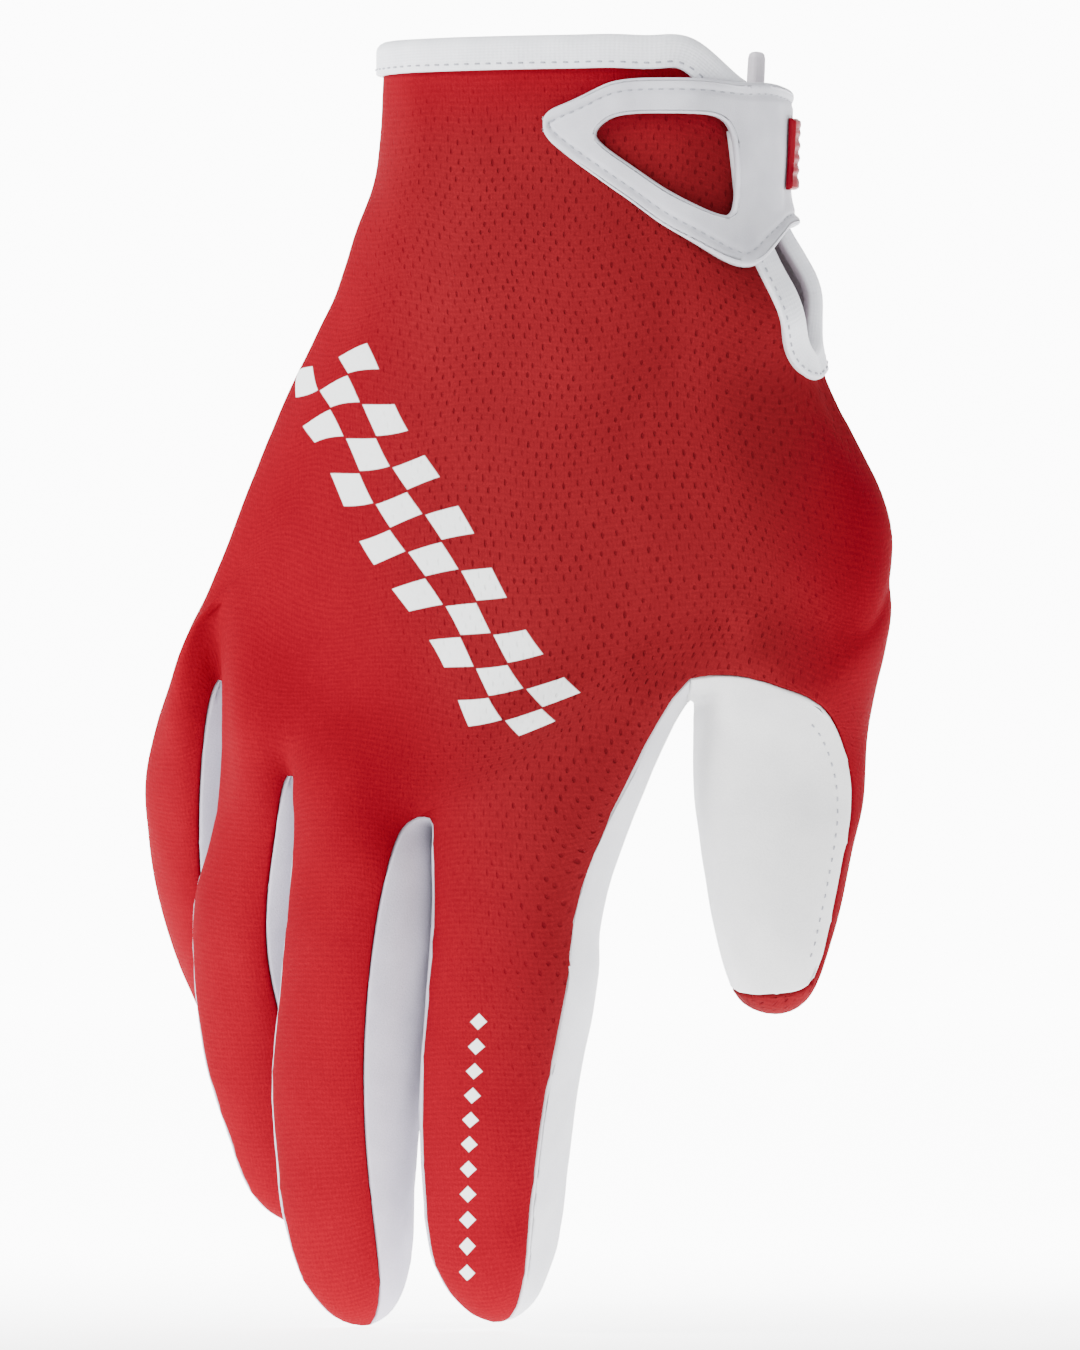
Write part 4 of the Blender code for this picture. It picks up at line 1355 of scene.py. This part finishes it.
def strap_material():
    """Coated strap with a fine grain."""
    shader = Shader("white_strap", Specular_IOR_Level=0.45)
    place = shader.place()
    grain = shader.noise(place, 0.25, 3.0, 0.6)
    tone = grain * 0.3 + shader.noise(place, 7.0) * 0.7
    color = shader.mix(shader.smooth(tone, 0.3, 0.7), (0.46, 0.46, 0.51), (0.56, 0.56, 0.61))
    return shader.finish(color, grain * 0.2 + 0.45, grain, 0.00006)


def badge_material():
    """Moulded red rubber."""
    shader = Shader("red_rubber", Specular_IOR_Level=0.08)
    grain = shader.noise(shader.place(), 0.3, 3.0, 0.6)
    color = shader.mix(grain, (0.17, 0.001, 0.008), (0.24, 0.002, 0.012))
    return shader.finish(color, grain * 0.2 + 0.35, grain, 0.00005)


def thread_material():
    """Twisted grey thread."""
    shader = Shader("grey_thread", Sheen_Weight=0.2, Specular_IOR_Level=0.35)
    u, v = shader.cloth()
    twist = (v + u * 0.5).wave(0.28)
    color = shader.mix(shader.smooth(twist, -1.0, 1.0), (0.25, 0.26, 0.30), (0.42, 0.43, 0.48))
    return shader.finish(color, 0.6, twist, 0.00003)


def stage_material():
    """Pale paper that glows with painted light behind the glove, as far as the camera sees it, and so also
    lights the glove.
    """
    shader = Shader("glowing_pale_floor", Specular_IOR_Level=0.1, Emission_Color=(*WHITE, 1.0))
    place = shader.place()
    x, y, z = shader.axes(place)
    behind = x * VIEW_AHEAD.x + y * VIEW_AHEAD.y
    beside = abs(x * VIEW_RIGHT.x + y * VIEW_RIGHT.y)
    glow = shader.smooth(behind, -250.0, 350.0) * shader.smooth(beside, 1400.0, 600.0)
    # Painted light: the emission is strongest behind the glove and weak elsewhere
    glow = glow * shader.smooth(z, 1400.0, 600.0) * 9.0 + 0.8
    shader.put(shader.surface.inputs["Emission Strength"], glow)
    return shader.finish(shader.mix(shader.noise(place, 40.0, 3.0), (0.86,) * 3, (0.90,) * 3), 0.9)


def build_badge(form, material):
    """The raised patch on the thumb side of the strap, with low ribs across it."""
    top = BADGE_TOP * STRAP_DEPTH
    turns = np.linspace(*BADGE_TURNS, BADGE_COLUMNS)
    depths = np.linspace(top, top + BADGE_HEIGHT, BADGE_ROWS)
    points = [(turn * STRAP_SCALE, 0, depth) for turn in turns for depth in depths]
    count = len(depths)
    faces = [(k * count + j, k * count + j + 1, (k + 1) * count + j + 1, (k + 1) * count + j)
             for k in range(len(turns) - 1) for j in range(count - 1)]
    sheet = sheet_from(points, faces, flat_places(points, faces))
    tree = border_tree(sheet)
    under = STRAP_CLOTH + FIT_CLEARANCE

    def relief(_, __, point):
        distance = tree.find(point)[2]
        rib = 0.5 - 0.5 * math.cos(2 * math.pi * point.z / RIB_PITCH)
        inside = min(1.0, max(0.0, (distance - RIB_BORDER) / RIB_FADE))
        return under + BADGE_THICKNESS - RIB_DEPTH * rib * inside - roll(distance), under

    return shell("strap_badge", sheet, strap_surface(form), 0.0, material, relief)


def build_loop(form, material):
    """The little folded loop that stands on the cuff's palm side, beside the slit."""
    place, normal = form.around(LOOP_TURN, LOOP_LOW)
    side = UP.cross(normal).normalized()
    sections = []
    for height, scale in LOOP_SHAPE:
        middle = place - normal * LOOP_INSET + UP * (height * LOOP_HEIGHT)
        section = []
        for k in range(LOOP_SIDES):
            turn = 2 * math.pi * k / LOOP_SIDES
            x, y = math.cos(turn), math.sin(turn)
            stretch = scale / (abs(x) ** 4 + abs(y) ** 4) ** 0.25
            section.append(middle + side * (x * stretch * LOOP_BREADTH / 2)
                           + normal * (y * stretch * LOOP_CLOTH / 2 + height * LOOP_LEAN))
        sections.append(section)
    piece = link_sweep("cuff_loop", sections, material)
    # Painted shade greys the loop towards the lining's colour
    store(piece, "lining_shade", [LOOP_SHADE] * len(piece.data.vertices))
    return piece


def past(value, limit, side=1):
    """Goes from 0 to 1 as a value rises past a limit, or sinks past it where side is -1."""
    start, softness = limit
    return 1 / (1 + math.exp(-side * (value - start) / softness))


def mark_open_knit(piece):
    """Stores where the knit's dimples are open: over the back of the hand and the index finger."""
    marks = []
    for vertex in piece.data.vertices:
        x, _, z = vertex.co
        across = past(x - PAST_LEAN * max(0.0, KNUCKLES - z), OPEN_PAST)
        thumb = past(x - SHORT_LEAN * max(0.0, z - KNUCKLES), OPEN_SHORT, -1)
        marks.append(across * thumb * past(z, OPEN_ABOVE) * past(z, OPEN_BELOW, -1))
    store(piece, "open_knit", marks)


def binding_line(path, form, width, cloth, inset):
    """A line on the outer face of a binding, inside its lower edge."""
    line = []
    for place, _, off_edge in binding_frames(path, form):
        spot, normal = form.nearest(place - off_edge * (width - inset))
        line.append((spot + normal * (FIT_CLEARANCE + cloth + waves(place)), normal))
    return line


def slit_path(form, cuff):
    """The points round the slit that lie clear of the cuff binding's two ends."""
    clear = CUFF_BINDING_HEIGHT + SLIT_BINDING_WIDTH / 2
    ends = [form.points[cuff[0]], form.points[cuff[-1]]]
    rim = {v for edge in border_edges(form.faces) for v in edge}
    return [v for v in reversed(ordered_edge(form, "slit"))
            if v not in rim and all((form.points[v] - end).length > clear for end in ends)]


def strap_line(outline, form):
    """The line of the strap's groove, inside its outline."""
    surface = strap_surface(form)
    line = []
    count = len(outline)
    for k in range(0, count, 3):
        along = (outline[(k + 3) % count] - outline[k - 3]).normalized()
        inward = Vector((along.z, 0, -along.x))
        place, normal = surface(outline[k] + inward * GROOVE_INSET)
        line.append((place + normal * (STRAP_CLOTH - GROOVE_DEPTH), normal))
    return line


def thumb_line(form):
    """A line inside the seam on the thumb's outer side, from its root to its tip."""
    chosen = [corners for corners, tag in zip(form.faces, form.tags) if tag == "thumb_panel"]
    points = [form.points[a] for a, _ in border_edges(chosen)]
    points = [p for p in points
              if p.x > THUMB_STITCHES_PAST and THUMB_STITCHES_END < p.z < THUMB_STITCHES_START]
    points.sort(key=lambda p: -p.z)
    runs = [points[max(k - 2, 0):k + 3] for k in range(len(points))]
    smooth = [sum(run, NOWHERE) / len(run) for run in runs]
    line = []
    for k in range(2, len(smooth) - 2):
        along = (smooth[k + 1] - smooth[k - 1]).normalized()
        _, normal = form.nearest(smooth[k])
        inward = along.cross(normal)
        if inward.x > 0:
            inward.negate()
        place, normal = form.nearest(smooth[k] + inward * THUMB_STITCH_INSET)
        line.append((place + normal * waves(place), normal))
    return line


def build_stage(material):
    """A pale floor that curves up into a backdrop."""
    floor = LOWEST - FLOOR_GAP
    profile = [(-STAGE_HALF, floor), (FLOOR_END, floor)]
    for k in range(1, CURVE_STEPS + 1):
        turn = math.radians(90 * k / CURVE_STEPS)
        profile.append((FLOOR_END + CURVE_RADIUS * math.sin(turn),
                        floor + CURVE_RADIUS * (1 - math.cos(turn))))
    profile.append((FLOOR_END + CURVE_RADIUS, BACKDROP_HEIGHT))
    points = [VIEW_AHEAD * y + UP * z + VIEW_RIGHT * side
              for y, z in profile for side in (-STAGE_HALF, STAGE_HALF)]
    faces = [(2 * k, 2 * k + 1, 2 * k + 3, 2 * k + 2) for k in range(len(profile) - 1)]
    places = [[(points[v].x, points[v].y) for v in corners] for corners in faces]
    stage = link_mesh("stage", points, faces, places, material)


def add_light(name, place, size, energy):
    """A square lamp that faces the middle of the glove."""
    data = bpy.data.lights.new(name, "AREA")
    data.shape = "SQUARE"
    data.size = size
    data.energy = energy
    lamp = bpy.data.objects.new(name, data)
    lamp.location = place
    lamp.rotation_euler = (LIT_MIDDLE - Vector(place)).to_track_quat("-Z", "Y").to_euler()
    bpy.context.collection.objects.link(lamp)


def add_camera():
    data = bpy.data.cameras.new("camera")
    data.sensor_fit = "VERTICAL"
    data.sensor_height = SENSOR_HEIGHT
    data.lens = SENSOR_HEIGHT * CAMERA_DISTANCE / VIEW_HEIGHT
    data.clip_end = 50.0
    camera = bpy.data.objects.new("camera", data)
    camera.location = VIEW_RIGHT * CAMERA_ACROSS - VIEW_AHEAD * CAMERA_DISTANCE + UP * CAMERA_HEIGHT
    camera.rotation_euler = (math.pi / 2, 0, CAMERA_TURN)
    bpy.context.collection.objects.link(camera)
    bpy.context.scene.camera = camera


def build_light():
    world = bpy.data.worlds.new("studio")
    world.use_nodes = True
    background = world.node_tree.nodes["Background"]
    background.inputs["Color"].default_value = (*WHITE, 1.0)
    background.inputs["Strength"].default_value = WORLD_LIGHT
    bpy.context.scene.world = world
    for lamp in LAMPS:
        add_light(*lamp)


def dress_glove():
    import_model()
    add_camera()
    cage = build_cage()
    solve_cage(cage)
    form = Form(cage, LOOK_LEVELS)
    relax_borders(form)
    suede = suede_material("white_suede", (0.64, 0.64, 0.67), (0.46, 0.46, 0.50))
    wall_suede = suede_material("wall_suede", (0.66, 0.66, 0.69), (0.56, 0.56, 0.60))
    # Fourchette suede: partly its own lavender grey, partly painted shade between the fingers
    shaded_grey_suede = suede_material("shaded_grey_suede", (0.50, 0.475, 0.55), (0.40, 0.38, 0.45))
    thumb_suede = suede_material("thumb_suede", (0.76, 0.76, 0.76), (0.66, 0.66, 0.67))
    elastic = elastic_material()
    thread = thread_material()

    def place_piece(piece, slot, *nodes):
        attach(piece, "root")
        if nodes:
            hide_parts(*nodes)

    back = build_panel("back_panel", form, BACK_CLOTH, red_mesh_material())
    mark_open_knit(back)
    place_piece(back, "red_mesh", "back_panel")
    for name, cloth in (("palm_panel", suede), ("thumb_panel", thumb_suede), ("index_sidewall", wall_suede),
                        ("fourchette_index_middle", shaded_grey_suede), ("fourchette_middle_ring", shaded_grey_suede),
                        ("fourchette_ring_little", shaded_grey_suede)):
        place_piece(build_panel(name, form, PALM_CLOTH, cloth), "white_suede", name)
    cuff = cuff_edge(form)
    slit = slit_path(form, cuff)
    cuff_sizes = (CUFF_BINDING_HEIGHT, CUFF_BINDING_CLOTH)
    slit_sizes = (SLIT_BINDING_WIDTH, SLIT_BINDING_CLOTH)
    place_piece(build_binding("cuff_binding", cuff, form, *cuff_sizes, elastic),
                "white_elastic", "cuff_binding")
    place_piece(build_loop(form, elastic), "white_elastic")
    place_piece(build_binding("slit_binding", slit, form, *slit_sizes, elastic),
                "white_elastic", "slit_binding")
    strap, outline = build_strap(form, strap_material())
    place_piece(strap, "white_strap", "closure_strap")
    place_piece(build_badge(form, badge_material()), "red_rubber", "strap_badge")
    rows = [("cuff_stitches", binding_line(cuff, form, *cuff_sizes, CUFF_STITCH_INSET), CUFF_STITCHES),
            ("slit_stitches", binding_line(slit, form, *slit_sizes, SLIT_STITCH_INSET), SLIT_STITCHES),
            ("strap_stitches", strap_line(outline, form), STRAP_STITCHES),
            ("thumb_stitches", thumb_line(form), THUMB_STITCHES)]
    for name, line, sizes in rows:
        place_piece(stitch_row(name, line, thread, *sizes, name == "strap_stitches"), "white_elastic")
    build_stage(stage_material())
    build_light()


dress_glove()
